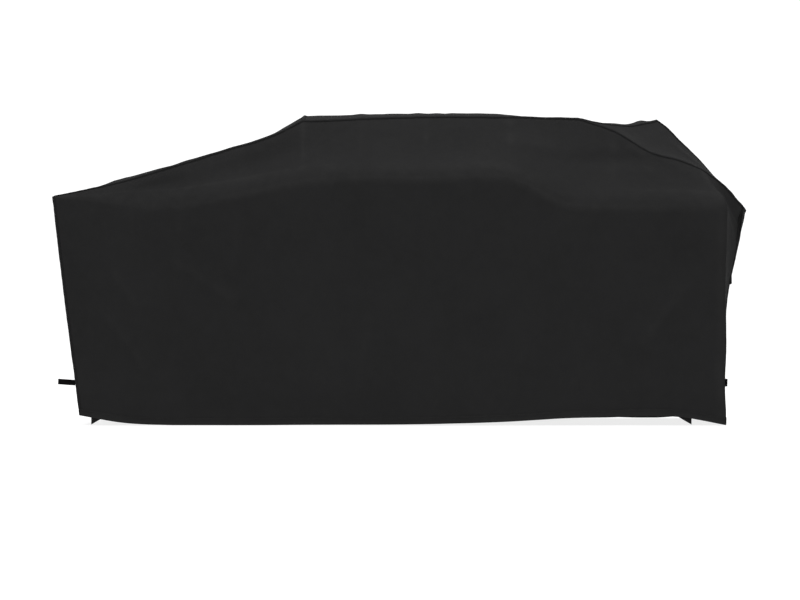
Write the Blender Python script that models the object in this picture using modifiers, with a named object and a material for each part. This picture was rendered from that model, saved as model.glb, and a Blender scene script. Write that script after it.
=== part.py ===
"""A fitted fabric cover for a wide cart-style grill, sewn from flat panels.

A front and a rear panel each hold a skirt and the hood slope above it. A strip of five panels
runs between them: up the left end, up the left slope, over the lid, down the right slope and
down the right end. Webbing with a side-release buckle crosses each end near the hem, each end
has a grab handle, the rear has two flap-covered vents, and a hook-and-loop leg strap hangs
inside each corner.

Metres, +Z up. +X runs along the length, to the right as seen from the front, and the front
faces -Y. The origin is on the ground under the middle of the cover.
"""

import math

import bmesh
import bpy
import numpy as np
from mathutils import Matrix, Vector

# Overall sizes
LENGTH = 2.480
DEPTH = 0.66
SHELF_HEIGHT = 0.80
RIDGE_HEIGHT = 1.120
LEFT_RUN = 0.868  # the left slope, from the end's top edge to the lid
RIGHT_RUN_FRONT = 0.623  # the right slope along the front seam
RIGHT_RUN_REAR = 0.312  # the right slope along the rear seam
LEFT_TUCK = 0.0945  # how far the hem stands in from the left end's top edge
RIGHT_TUCK = 0.1265  # the same below the bulge at the right end
SHOULDER_ROUND = 0.045  # run of the bend between skirt and hood, each way
FOLD_PULL = 0.008  # how far the skirt is drawn in halfway up its right front fold

# Cloth, seams and hem
CLOTH = 0.0016
SEAM_RADIUS = 0.0025
SEAM_INSET = 0.0036  # cloth edge to the middle of its seam
HEM_HEIGHT = 0.025
HEM_THICK = 0.004
HEM_INSET = 0.005
GAP = 0.0004

# Webbing and its patches
WEB_WIDTH = 0.020
WEB = 0.0015
STRAP_HEIGHT = 0.147
PATCH = 0.030
PATCH_THICK = 0.001
PATCH_LIFT = 0.0022  # middle of the cloth to the middle of a patch
STRAP_LIFT = 0.0042  # middle of the cloth to the middle of the webbing on the left end
BUCKLE_INSET = 0.096  # from the front face to the buckle's mouth
STRAP_END_INSET = 0.060  # from the rear face to the end of the long webbing
SHORT_WEB = 0.030
TAIL = 0.064
TAIL_LIFT = 0.0026  # buckle's face to the middle of the free end
TAIL_START = WEB_WIDTH / 8  # from the hinge to the free end's first edge

# Side-release buckle
BUCKLE_WIDTH = WEB_WIDTH + 0.007
BUCKLE_THICK = 0.008
BUCKLE_WALL = 0.003
SOCKET = 0.028
PLUG = 0.0165
PLUG_GAP = 0.0005
TONGUE = 0.018
TONGUE_WIDTH = 0.005
ARM_LENGTH = 0.016
ARM_THICK = 0.0028
ARM_TIP = 0.0008
PLUG_THICK = 0.0036
BARB = 0.0016
FACE = 0.0015  # the socket's upper and lower walls
BORE_DEPTH = 0.022
WINDOW = (-0.017, -0.009)  # the side windows, along the socket
WINDOW_TALL = 0.003
SLOT = (-0.0265, -0.0245)  # the socket's webbing slot
LADDER = (0.0050, 0.0110)  # the plug's two webbing slots
LADDER_WIDE = 0.0024
THROUGH = 0.020  # half a cutter that passes right through the buckle

# Grab handles, vents and leg straps
HANDLE_HEIGHT = 0.56
HANDLE_SPAN = 0.150  # between the middles of the handle's two legs
HANDLE_DROP = 0.060
HANDLE_WEB = 0.025
HANDLE_STAND = 0.0065
HANDLE_CLEAR = 0.002  # from the hinge to its patches
HANDLE_BEND = 0.012
VENT_X = 0.55
VENT_HEIGHT = 0.655
VENT_WIDE = 0.160
VENT_TALL = 0.060
VENT_LAP = 0.020  # flap past the window, each way
LEG_STRAP_WIDTH = 0.045
LEG_STRAP_TOP = 0.072
LEG_STRAP_FOOT = 0.002
LEG_STRAP_BEVEL = 0.026  # rise of the slanted tip
LEG_STRAP_STAND = 0.0050  # middle of the skirt to the middle of the strap
LEG_STRAP_X = (0.1340, 0.2455)  # outer edge, in from the left and the right end


# The outline's landmarks are offsets from the overall sizes.
def left(x):
    return -LENGTH / 2 + x


def right(x):
    return LENGTH / 2 - x


def front(y):
    return -DEPTH / 2 + y


def rear(y):
    return DEPTH / 2 - y


def rise(share):
    return SHELF_HEIGHT + share * (RIDGE_HEIGHT - SHELF_HEIGHT)


def climb(share):
    """X at a share of the way up the left slope."""
    return left(LEFT_RUN * share)


def fall(share, run):
    """X at a share of the way down the right slope."""
    return right(run * (1 - share))


def lid(share, run):
    """X at a share of the way along the lid."""
    return left(LEFT_RUN) + share * (right(run) - left(LEFT_RUN))


def front_fall(share):
    return fall(share, RIGHT_RUN_FRONT)


def rear_fall(share):
    return fall(share, RIGHT_RUN_REAR)


# Each guide has a point at each of these stations, from the left end to the right bulge.
LEFT_EDGE, LEFT_RIDGE, RIGHT_RIDGE, FOLD, BULGE = 0, 5, 8, 12, 14
STEPS = (3, 3, 3, 2, 2, 6, 4, 4, 2, 2, 2, 2, 2, 2)  # columns of cloth from station to station
ACROSS = 6  # and from the front seam to the rear one

FRONT_SEAM = (
    (climb(0), front(0), rise(0)),
    (climb(0.251), front(0.040), rise(0.17)),
    (climb(0.477), front(0.075), rise(0.355)),
    (climb(0.719), front(0.115), rise(0.57)),
    (climb(0.849), front(0.135), rise(0.68)),
    (climb(1), front(0.165), rise(0.88)),
    (lid(0.47, RIGHT_RUN_FRONT), front(0.190), rise(0.93)),
    (lid(0.76, RIGHT_RUN_FRONT), front(0.200), rise(0.93)),
    (front_fall(0), front(0.210), rise(0.917)),
    (front_fall(0.20), front(0.180), rise(0.77)),
    (front_fall(0.40), front(0.140), rise(0.53)),
    (front_fall(0.584), front(0.130), rise(0.417)),
    (front_fall(0.69), front(0.140), rise(0.33)),
    (front_fall(0.81), front(0.170), rise(0.185)),
    (front_fall(0.962), front(0.250), rise(-0.077)),
)
CROWN = (
    (climb(0), 0, rise(0)),
    (climb(0.262), 0, rise(0.238)),
    (climb(0.477), 0, rise(0.411)),
    (climb(0.707), 0, rise(0.608)),
    (climb(0.849), 0, rise(0.752)),
    (climb(1), 0, rise(0.972)),
    (lid(0.40, 0.450), 0, rise(1)),
    (lid(0.70, 0.450), 0, rise(0.974)),
    (fall(0, 0.450), 0, rise(0.872)),
    (fall(0.18, 0.450), 0, rise(0.74)),
    (fall(0.36, 0.450), 0, rise(0.58)),
    (fall(0.56, 0.450), 0, rise(0.44)),
    (fall(0.69, 0.450), 0, rise(0.32)),
    (fall(0.84, 0.450), 0.020, rise(0.155)),
    (fall(1, 0.450), 0.070, rise(-0.105)),
)
REAR_SEAM = (
    (climb(0), rear(0), rise(0)),
    (climb(0.251), rear(0.040), rise(0.185)),
    (climb(0.477), rear(0.070), rise(0.365)),
    (climb(0.719), rear(0.105), rise(0.57)),
    (climb(0.849), rear(0.125), rise(0.68)),
    (climb(1), rear(0.160), rise(0.895)),
    (lid(0.38, RIGHT_RUN_REAR), rear(0.165), rise(0.93)),
    (lid(0.89, RIGHT_RUN_REAR), rear(0.175), rise(0.865)),
    (rear_fall(0), rear(0.170), rise(0.977)),
    (rear_fall(0.13), rear(0.165), rise(0.88)),
    (rear_fall(0.31), rear(0.155), rise(0.71)),
    (rear_fall(0.47), rear(0.145), rise(0.565)),
    (rear_fall(0.62), rear(0.130), rise(0.415)),
    (rear_fall(0.80), rear(0.110), rise(0.215)),
    (rear_fall(0.97), rear(0.080), rise(-0.031)),
)
FRONT_SHOULDER = (
    (climb(0), front(0), rise(0)),
    (climb(0.251), front(0), rise(0)),
    (climb(0.477), front(0), rise(0)),
    (climb(0.719), front(0), rise(0.11)),
    (climb(0.849), front(0), rise(0.185)),
    (climb(1), front(0), rise(0.262)),
    (lid(0.47, RIGHT_RUN_FRONT), front(0), rise(0.309)),
    (lid(0.73, RIGHT_RUN_FRONT), front(0), rise(0.309)),
    (front_fall(-0.06), front(0), rise(0.01)),
    (front_fall(0.17), front(0), rise(-0.006)),
    (front_fall(0.38), front(0), rise(-0.006)),
    (front_fall(0.57), front(0), rise(-0.006)),
    (right(0.1245), front(0), rise(-0.012)),
    (right(0.090), front(0.120), rise(-0.124)),
    (right(0.047), front(0.230), rise(-0.432)),
)
FRONT_HEM = (
    (left(LEFT_TUCK), front(0), 0.034),
    (climb(0.286), front(0), 0.008),
    (climb(0.485), front(0), 0),
    (climb(0.719), front(0), 0),
    (climb(0.849), front(0), 0),
    (climb(1), front(0), 0.001),
    (lid(0.47, RIGHT_RUN_FRONT), front(0), 0.004),
    (lid(0.73, RIGHT_RUN_FRONT), front(0), 0.012),
    (front_fall(-0.06), front(0), 0.025),
    (front_fall(0.14), front(0), 0.027),
    (front_fall(0.38), front(0), 0.032),
    (front_fall(0.545), front(0), 0.028),
    (right(RIGHT_TUCK + 0.003), front(0), 0),
    (right(RIGHT_TUCK), front(0.085), 0.004),
    (right(RIGHT_TUCK), front(0.170), 0.010),
)
REAR_SHOULDER = (
    (climb(0), rear(0), rise(0)),
    (climb(0.251), rear(0), rise(0)),
    (climb(0.477), rear(0), rise(0)),
    (climb(0.719), rear(0), rise(0.11)),
    (climb(0.849), rear(0), rise(0.185)),
    (climb(1), rear(0), rise(0.262)),
    (lid(0.36, RIGHT_RUN_REAR), rear(0), rise(0.309)),
    (lid(0.66, RIGHT_RUN_REAR), rear(0), rise(0.309)),
    (rear_fall(-0.45), rear(0), rise(0.24)),
    (rear_fall(-0.18), rear(0), rise(0.14)),
    (rear_fall(0.06), rear(0), rise(0.07)),
    (rear_fall(0.25), rear(0), rise(0.03)),
    (rear_fall(0.40), rear(0), rise(0)),
    (rear_fall(0.52), rear(0), rise(-0.06)),
    (right(0.066), rear(0.014), rise(-0.37)),
)
REAR_HEM = (
    (left(LEFT_TUCK), rear(0), 0.030),
    (climb(0.286), rear(0), 0.004),
    (climb(0.485), rear(0), 0),
    (climb(0.719), rear(0), 0),
    (climb(0.849), rear(0), 0.004),
    (climb(1), rear(0), 0.009),
    (lid(0.36, RIGHT_RUN_REAR), rear(0), 0.013),
    (lid(0.66, RIGHT_RUN_REAR), rear(0), 0.006),
    (rear_fall(-0.45), rear(0), 0.002),
    (rear_fall(-0.18), rear(0), 0),
    (rear_fall(0.06), rear(0), 0),
    (rear_fall(0.25), rear(0), 0.004),
    (rear_fall(0.36), rear(0), 0.008),
    (rear_fall(0.46), rear(0), 0.012),
    (right(RIGHT_TUCK), rear(0), 0.016),
)


def waist(hems, shoulders, bulge):
    """The skirt's points halfway up: straight on most stations, drawn in at the right end."""
    middles = [tuple((a + b) / 2 for a, b in zip(*pair)) for pair in zip(hems, shoulders)]
    fold = middles[-2]
    return (*middles[:-2], (fold[0] - FOLD_PULL, *fold[1:]), bulge)


FRONT_WAIST = waist(FRONT_HEM, FRONT_SHOULDER, (right(0.1145), front(0.185), 0.30))
REAR_WAIST = waist(REAR_HEM, REAR_SHOULDER, (right(0.1145), rear(0), 0.30))


class Guide:
    """A smooth curve through one point for each station, with a corner at the stations named."""

    def __init__(self, points, corners):
        self.points = np.array(points, float)
        self.corners = {0, len(points) - 1, *corners}
        self.chords = np.diff(self.points, axis=0)
        self.lengths = np.linalg.norm(self.chords, axis=1)

    def heading(self, station, chord):
        """The curve's direction as it passes a station along one of its two chords."""
        ways = self.chords / self.lengths[:, None]
        if station in self.corners:
            return ways[chord]
        before, after = self.lengths[station - 1], self.lengths[station]
        return (ways[station - 1] * after + ways[station] * before) / (before + after)

    def at(self, place):
        i = min(int(place), len(self.lengths) - 1)
        t = place - i
        start, end, length = self.points[i], self.points[i + 1], self.lengths[i]
        leaving = self.heading(i, i) * length
        arriving = self.heading(i + 1, i) * length
        return (
            start * (2 * t**3 - 3 * t**2 + 1)
            + leaving * (t**3 - 2 * t**2 + t)
            + end * (3 * t**2 - 2 * t**3)
            + arriving * (t**3 - t**2)
        )


RIDGES = (LEFT_RIDGE, RIGHT_RIDGE)
FRONT = tuple(Guide(p, (FOLD,)) for p in (FRONT_HEM, FRONT_WAIST, FRONT_SHOULDER))
FRONT = (*FRONT, Guide(FRONT_SEAM, RIDGES))
REAR = tuple(Guide(p, ()) for p in (REAR_HEM, REAR_WAIST, REAR_SHOULDER))
REAR = (*REAR, Guide(REAR_SEAM, RIDGES))
TOP = Guide(CROWN, RIDGES)


def arc(start, middle, end, t):
    """A point on the parabola through three points."""
    return start * (1 - t) * (1 - 2 * t) + middle * 4 * t * (1 - t) + end * t * (2 * t - 1)


def skirt(side, place, height):
    """The skirt's point at a height above the hem, measured along the cloth."""
    hem, middle, shoulder = (guide.at(place) for guide in side[:3])
    hem = np.array((hem[0], hem[1], max(hem[2], 0)))
    length = np.linalg.norm(shoulder - hem)
    return arc(hem, middle, shoulder, height / length), length


def line(side, place, foot=HEM_HEIGHT + GAP):
    """The cloth's line at a station: up the skirt, round the shoulder and up the hood."""
    length = skirt(side, place, 0)[1]
    shoulder, seam = side[2].at(place), side[3].at(place)
    hood = np.linalg.norm(seam - shoulder)
    bend = min(SHOULDER_ROUND, 0.4 * hood)
    heights = np.linspace(foot, length - bend, 4)
    rows = [skirt(side, place, h)[0] for h in heights]
    past = shoulder + (seam - shoulder) * (bend / max(hood, SEAM_INSET))
    rows.append((rows[-1] + 2 * shoulder + past) / 4)
    return [*rows, past, (past + seam) / 2, seam]


def drawn_in(point, neighbour, distance):
    """The point moved towards its neighbour by a distance."""
    way = neighbour - point
    return point + way * (distance / max(np.linalg.norm(way), distance))


def edge_in(edge, inner, inset):
    """An edge's points moved towards the points inside it, so that the edge moves in by the inset."""
    runs = np.gradient(edge, axis=0)
    ways = inner - edge
    moved = []
    for point, neighbour, run, way in zip(edge, inner, runs, ways):
        size = max(np.linalg.norm(run) * np.linalg.norm(way), CLOTH**2)
        slant = max(np.linalg.norm(np.cross(run, way)) / size, 0.35)
        moved.append(drawn_in(point, neighbour, inset / slant))
    return moved


def trimmed(grid, inset, sides):
    """A grid of points with the edges on some sides moved in, to leave room for the seam."""
    whole = np.array(grid, float)
    grid = whole.copy()
    if "first_row" in sides:
        grid[0] = edge_in(whole[0], whole[1], inset)
    if "last_row" in sides:
        grid[-1] = edge_in(whole[-1], whole[-2], inset)
    if "first_column" in sides:
        grid[:, 0] = edge_in(grid[:, 0], grid[:, 1], inset)
    if "last_column" in sides:
        grid[:, -1] = edge_in(grid[:, -1], grid[:, -2], inset)
    return grid


def places(first, last):
    """The places of the cloth's columns from one station to another."""
    found = [first]
    for station in range(first, last):
        found += [station + (k + 1) / STEPS[station] for k in range(STEPS[station])]
    return found


def over(place, share):
    """A point on the strip, a share of the way from the front seam over the crown to the rear."""
    return arc(FRONT[3].at(place), TOP.at(place), REAR[3].at(place), share)


def across(place):
    return [over(place, k / ACROSS) for k in range(ACROSS + 1)]


def end_wall(place, share, row):
    """A point on an end panel: a share of the way back, on one of the side edges' rows.

    The panel is flat at the hem and takes up the strip's crown towards its top edge.
    """
    a, b = line(FRONT, place)[row], line(REAR, place)[row]
    top_a, top_b = FRONT[3].at(place), REAR[3].at(place)
    belly = over(place, share) - (top_a + (top_b - top_a) * share)
    height = (a[2] + b[2]) / (top_a[2] + top_b[2])
    return a + (b - a) * share + belly * height**2


def wall_point(place, y, z):
    """The point of an end wall at a given y and z, and the wall's direction upwards there."""
    rows = 4 if place == LEFT_EDGE else 8
    shares = np.linspace(0, 1, 25)
    grid = [[end_wall(place, share, row) for share in shares] for row in range(rows)]
    column = []
    for points in grid:
        points = np.array(points)
        column.append([np.interp(y, points[:, 1], points[:, k]) for k in range(3)])
    column = np.array(column)
    low = int(np.clip(np.searchsorted(column[:, 2], z) - 1, 0, rows - 2))
    up = column[low + 1] - column[low]
    return column[low] + up * ((z - column[low][2]) / up[2]), up / np.linalg.norm(up)


# Scene, materials and shapes
def clear_scene():
    for thing in list(bpy.data.objects):
        bpy.data.objects.remove(thing, do_unlink=True)


def collection(name):
    made = bpy.data.collections.new(name)
    bpy.context.scene.collection.children.link(made)
    return made


clear_scene()
COVER = collection("grill_cover")
CUTTERS = collection("cutters")


def material(name, colour, roughness):
    made = bpy.data.materials.new(name)
    made.use_nodes = True
    shader = made.node_tree.nodes["Principled BSDF"]
    shader.inputs["Base Color"].default_value = (*colour, 1)
    shader.inputs["Roughness"].default_value = roughness
    shader.inputs["Metallic"].default_value = 0
    return made


FABRIC = material("coated_polyester", (0.017, 0.017, 0.018), 0.78)
BINDING = material("binding_tape", (0.010, 0.010, 0.011), 0.85)
WEBBING = material("polyester_webbing", (0.012, 0.012, 0.013), 0.7)
PLASTIC = material("buckle_plastic", (0.020, 0.020, 0.021), 0.4)
MESH = material("vent_mesh", (0.014, 0.014, 0.015), 0.6)
LOOP = material("hook_and_loop", (0.013, 0.013, 0.013), 0.95)


def place_piece(name, data, piece_material, frame=None, into=COVER):
    thing = bpy.data.objects.new(name, data)
    into.objects.link(thing)
    thing.matrix_world = frame or Matrix()
    if piece_material:
        data.materials.append(piece_material)
    return thing


def cloth(name, grid, thickness, piece_material):
    """A loft through rows of points, as thick cloth. Points that fall together are one."""
    grid = np.array(grid, float)
    body = bmesh.new()
    rows = [[body.verts.new(p) for p in row] for row in grid]
    for low, high in zip(rows, rows[1:]):
        for k in range(len(low) - 1):
            body.faces.new((low[k], low[k + 1], high[k + 1], high[k]))
    bmesh.ops.remove_doubles(body, verts=body.verts, dist=CLOTH / 4)
    bmesh.ops.recalc_face_normals(body, faces=body.faces)
    data = bpy.data.meshes.new(name)
    body.to_mesh(data)
    body.free()
    data.shade_smooth()
    thing = place_piece(name, data, piece_material)
    thick = thing.modifiers.new("thickness", "SOLIDIFY")
    thick.thickness = thickness
    thick.offset = 0
    return thing


def piping(name, points):
    """A seam's binding: a thin cord along its points."""
    data = bpy.data.curves.new(name, "CURVE")
    data.dimensions = "3D"
    data.bevel_depth = SEAM_RADIUS
    data.bevel_resolution = 1
    data.use_fill_caps = True
    run = data.splines.new("POLY")
    run.points.add(len(points) - 1)
    for knot, point in zip(run.points, points):
        knot.co = (*point, 1)
    return place_piece(name, data, BINDING)


def block(name, low, high, frame, piece_material, into=COVER):
    """A box between two corners in its own frame."""
    body = bmesh.new()
    bmesh.ops.create_cube(body, size=1)
    size = [b - a for a, b in zip(low, high)]
    middle = [(a + b) / 2 for a, b in zip(low, high)]
    bmesh.ops.scale(body, vec=size, verts=body.verts)
    bmesh.ops.translate(body, vec=middle, verts=body.verts)
    data = bpy.data.meshes.new(name)
    body.to_mesh(data)
    body.free()
    return place_piece(name, data, piece_material, frame, into)


def plate(name, outline, thickness, frame, piece_material):
    """A flat outline given thickness."""
    data = bpy.data.curves.new(name, "CURVE")
    data.dimensions = "2D"
    data.fill_mode = "BOTH"
    data.extrude = thickness / 2
    run = data.splines.new("POLY")
    run.points.add(len(outline) - 1)
    for knot, point in zip(run.points, outline):
        knot.co = (*point, 0, 1)
    run.use_cyclic_u = True
    return place_piece(name, data, piece_material, frame)


def cut(thing, name, low, high, frame, operation="DIFFERENCE"):
    """Cuts a box out of a piece, or joins one to it."""
    cutter = block(f"{thing.name}_{name}", low, high, frame, None, CUTTERS)
    cutter.hide_render = True
    cutter.display_type = "WIRE"
    step = thing.modifiers.new(name, "BOOLEAN")
    step.operation = operation
    step.object = cutter


def axes(origin, along, outward):
    """A frame with x along a strap and z straight out from the cloth."""
    x = Vector(along).normalized()
    z = Vector(outward)
    z = (z - x * z.dot(x)).normalized()
    y = z.cross(x)
    frame = Matrix((x, y, z)).transposed().to_4x4()
    frame.translation = Vector(origin)
    return frame


def band(name, start, end, outward):
    """A straight run of webbing between two points."""
    length = (Vector(end) - Vector(start)).length
    low = (0, -WEB_WIDTH / 2, -WEB / 2)
    high = (length, WEB_WIDTH / 2, WEB / 2)
    along = Vector(end) - Vector(start)
    block(name, low, high, axes(start, along, outward), WEBBING)


# The sewn shell
def shell():
    everywhere = places(LEFT_EDGE, BULGE)
    for name, side in (("front_panel", FRONT), ("rear_panel", REAR)):
        columns = [line(side, place) for place in everywhere]
        grid = trimmed(columns, SEAM_INSET, ("last_column",))
        below_corner = skirt(side, 0, skirt(side, 0, 0)[1] - SEAM_INSET)[0]
        grid[0][3:] = below_corner
        cloth(name, trimmed(grid, SEAM_INSET, ("first_row", "last_row")), CLOTH, FABRIC)
    stretches = (
        ("left_slope_panel", LEFT_EDGE, LEFT_RIDGE),
        ("top_panel", LEFT_RIDGE, RIGHT_RIDGE),
        ("right_slope_panel", RIGHT_RIDGE, BULGE),
    )
    all_sides = ("first_row", "last_row", "first_column", "last_column")
    for name, first, last in stretches:
        grid = [across(place) for place in places(first, last)]
        cloth(name, trimmed(grid, SEAM_INSET, all_sides), CLOTH, FABRIC)
    for name, place, rows in (("left_end_panel", LEFT_EDGE, 4), ("right_end_panel", BULGE, 8)):
        shares = [k / ACROSS for k in range(ACROSS + 1)]
        grid = [[end_wall(place, share, row) for share in shares] for row in range(rows)]
        sides = ("last_row", "first_column", "last_column")
        cloth(name, trimmed(grid, SEAM_INSET, sides), CLOTH, FABRIC)


def seams():
    clear = SEAM_RADIUS + 4 * GAP
    for name, side in (("front_seam_binding", FRONT), ("rear_seam_binding", REAR)):
        up = line(side, LEFT_EDGE, HEM_HEIGHT + clear)[:3]
        along = [side[3].at(place) for place in places(LEFT_EDGE, BULGE)]
        down = line(side, BULGE, HEM_HEIGHT + clear)[:-1]
        piping(name, [*up, *along, *reversed(down)])
    crossings = (
        ("left_edge_seam_binding", LEFT_EDGE),
        ("left_ridge_seam_binding", LEFT_RIDGE),
        ("right_ridge_seam_binding", RIGHT_RIDGE),
        ("right_bulge_seam_binding", BULGE),
    )
    for name, place in crossings:
        around = np.array([across(max(place - 0.1, 0)), across(place), across(place + 0.1)])
        points = around[1]
        for end, inner in ((0, 1), (-1, -2)):
            edge = around[:, end], around[:, inner]
            points[end] = edge_in(*edge, 3 * SEAM_RADIUS)[1]
        piping(name, points)


def hems():
    everywhere = places(LEFT_EDGE, BULGE)
    ends = ("first_row", "last_row")
    for name, side in (("front_hem", FRONT), ("rear_hem", REAR)):
        grid = [[skirt(side, place, h)[0] for h in (0, HEM_HEIGHT)] for place in everywhere]
        cloth(name, trimmed(grid, HEM_INSET, ends), HEM_THICK, FABRIC)
    for name, place in (("left_hem", LEFT_EDGE), ("right_hem", BULGE)):
        feet = [[skirt(side, place, h)[0] for h in (0, HEM_HEIGHT)] for side in (FRONT, REAR)]
        grid = [[a + (b - a) * k / 4 for a, b in zip(*feet)] for k in range(5)]
        cloth(name, trimmed(grid, HEM_INSET, ends), HEM_THICK, FABRIC)


# Webbing and buckles
def buckle(end, mouth):
    """A side-release buckle whose mouth is at the frame's origin, the plug on its +x side."""
    half, thick = BUCKLE_WIDTH / 2, BUCKLE_THICK / 2
    inside = half - BUCKLE_WALL
    cavity = thick - FACE
    socket = block(
        f"{end}_buckle_socket", (-SOCKET, -half, -thick), (0, half, thick), mouth, PLASTIC
    )
    cut(socket, "bore", (-BORE_DEPTH, -inside, -cavity), (PLUG_GAP, inside, cavity), mouth)
    low, high = (WINDOW[0], -THROUGH, -WINDOW_TALL / 2), (WINDOW[1], THROUGH, WINDOW_TALL / 2)
    cut(socket, "windows", low, high, mouth)
    cut(socket, "slot", (SLOT[0], -inside, -THROUGH), (SLOT[1], inside, THROUGH), mouth)
    plug = block(
        f"{end}_buckle_plug", (PLUG_GAP, -half, -thick), (PLUG, half, thick), mouth, PLASTIC
    )
    for number, x in enumerate(LADDER):
        low = (x - LADDER_WIDE / 2, -inside, -THROUGH)
        high = (x + LADDER_WIDE / 2, inside, THROUGH)
        cut(plug, f"ladder_{number}", low, high, mouth)
    wide, tall = TONGUE_WIDTH / 2, PLUG_THICK / 2
    cut(plug, "tongue", (-TONGUE, -wide, -tall), (BUCKLE_WALL / 2, wide, tall), mouth, "UNION")
    outer = inside - BARB - 2 * GAP
    inner = outer - ARM_THICK
    for name, way in (("lower", -1), ("upper", 1)):
        if end == "left":
            way = -way
        middle = (inner + outer) / 2
        pivot = mouth @ Matrix.Translation((0, way * middle, 0))
        outline = [
            (0, inner - middle),
            (0, outer - middle),
            (-0.6 * ARM_LENGTH, outer - middle),
            (-0.65 * ARM_LENGTH, outer + BARB - middle),
            (-0.8 * ARM_LENGTH, outer + BARB - middle),
            (-ARM_LENGTH, inner + ARM_TIP - middle),
            (-ARM_LENGTH, inner - middle),
        ]
        outline = [(x, way * y) for x, y in outline]
        plate(f"{end}_buckle_{name}_arm", outline, PLUG_THICK, pivot, PLASTIC)


def patch(name, place, y, z, outward):
    """A sewn square of webbing on an end wall."""
    point, up = wall_point(place, y, z)
    near = wall_point(place, y + 0.01, z)[0] - wall_point(place, y - 0.01, z)[0]
    straight_out = np.cross(near, up)
    frame = axes(point, near, straight_out * np.sign(straight_out.dot(outward)))
    corner = (PATCH / 2, PATCH / 2, PATCH_THICK / 2)
    middle = frame @ Matrix.Translation((0, 0, PATCH_LIFT))
    block(name, [-c for c in corner], corner, middle, WEBBING)


def end_strap(end, place, sign, stand):
    """The webbing and buckle across one end, with the buckle near the front. Gives its mouth."""
    mouth_y, far_y = front(BUCKLE_INSET), rear(STRAP_END_INSET)
    base, up = wall_point(place, mouth_y if end == "left" else 0, STRAP_HEIGHT)
    out = Vector((sign, 0, 0))
    out = (out - Vector(up) * out.dot(Vector(up))).normalized()
    x_plane = base[0] + sign * stand
    along = (0, 1, 0)

    def on_strap(y):
        return Vector((x_plane, y, STRAP_HEIGHT))

    lift = BUCKLE_THICK / 2 - WEB / 2
    mouth = axes(on_strap(mouth_y) + out * lift, along, out)
    buckle(end, mouth)
    start = on_strap(mouth_y - SOCKET - GAP)
    anchor = on_strap(mouth_y - SOCKET - GAP - SHORT_WEB)
    band(f"{end}_short_strap", anchor, start, out)
    band(f"{end}_long_strap", on_strap(mouth_y + PLUG + GAP), on_strap(far_y), out)
    return mouth


def left_tail(mouth):
    """The webbing's free end, standing out to the left and rising a little."""
    root = mouth @ Vector((LADDER[1], 0, BUCKLE_THICK / 2 + TAIL_LIFT))
    way = Vector((-1, 0, 0.07)).normalized()
    frame = axes(root, way, (0, 1, 0))
    low, high = (TAIL_START, -WEB_WIDTH / 2, -WEB / 2), (TAIL, WEB_WIDTH / 2, WEB / 2)
    block("left_strap_tail", low, high, frame, WEBBING)


def right_tail(mouth):
    """The webbing's free end, lying back along the long strap."""
    root = mouth @ Vector((LADDER[1], 0, BUCKLE_THICK / 2 + TAIL_LIFT))
    frame = axes(root, (0.03, 1, 0), (1, 0, 0))
    low, high = (TAIL_START, -WEB_WIDTH / 2, -WEB / 2), (TAIL, WEB_WIDTH / 2, WEB / 2)
    block("right_strap_tail", low, high, frame, WEBBING)


def straps():
    left_tail(end_strap("left", LEFT_EDGE, -1, STRAP_LIFT))
    front_y = front(BUCKLE_INSET) - SOCKET - SHORT_WEB + PATCH / 4
    patch("left_front_strap_patch", LEFT_EDGE, front_y, STRAP_HEIGHT, (-1, 0, 0))
    patch("left_rear_strap_patch", LEFT_EDGE, rear(STRAP_END_INSET), STRAP_HEIGHT, (-1, 0, 0))
    right_tail(end_strap("right", BULGE, 1, STRAP_LIFT + SEAM_RADIUS))
    patch("right_rear_strap_patch", BULGE, rear(STRAP_END_INSET), STRAP_HEIGHT, (1, 0, 0))
    wrap = FOLD + 0.45
    rows = np.array(line(FRONT, wrap))
    point = [np.interp(STRAP_HEIGHT, rows[:4, 2], rows[:4, k]) for k in range(3)]
    ahead = np.array(line(FRONT, wrap + 0.1))[1] - rows[1]
    frame = axes(point, ahead, np.cross(ahead, rows[1] - rows[0]))
    frame = frame @ Matrix.Translation((0, 0, PATCH_LIFT))
    corner = (PATCH / 2, PATCH / 2, PATCH_THICK / 2)
    block("right_front_strap_patch", [-c for c in corner], corner, frame, WEBBING)


# Grab handles
def handle(end, place, sign, y):
    """A flat loop of webbing that hangs from two patches."""
    span, half = HANDLE_SPAN / 2, HANDLE_WEB / 2
    for name, way in (("front", -1), ("rear", 1)):
        middle = HANDLE_HEIGHT + PATCH / 2 + HANDLE_CLEAR
        patch(f"{end}_handle_{name}_patch", place, y + way * span, middle, (sign, 0, 0))
    hinge_x = [wall_point(place, y + way * span, HANDLE_HEIGHT)[0][0] for way in (-1, 0, 1)]
    reach = max(sign * x for x in hinge_x) + HANDLE_STAND
    frame = axes((sign * reach, y, HANDLE_HEIGHT), (0, 1, 0), (sign, 0, 0))
    drop = -HANDLE_DROP if sign > 0 else HANDLE_DROP
    crook = drop * (1 - HANDLE_WEB / HANDLE_DROP)
    bend = HANDLE_BEND
    shift = math.copysign(bend, drop)
    outer = [(span + half, 0), (span + half, drop - shift), (span + half - bend, drop)]
    inner = [(span - half - bend / 2, crook), (span - half, crook - shift / 2), (span - half, 0)]
    mirrored = [(-x, v) for x, v in reversed(outer)]
    inside = [(-x, v) for x, v in reversed(inner)]
    outline = [*outer, *mirrored, *inside, *inner]
    plate(f"{end}_handle", outline, WEB, frame, WEBBING)


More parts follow.
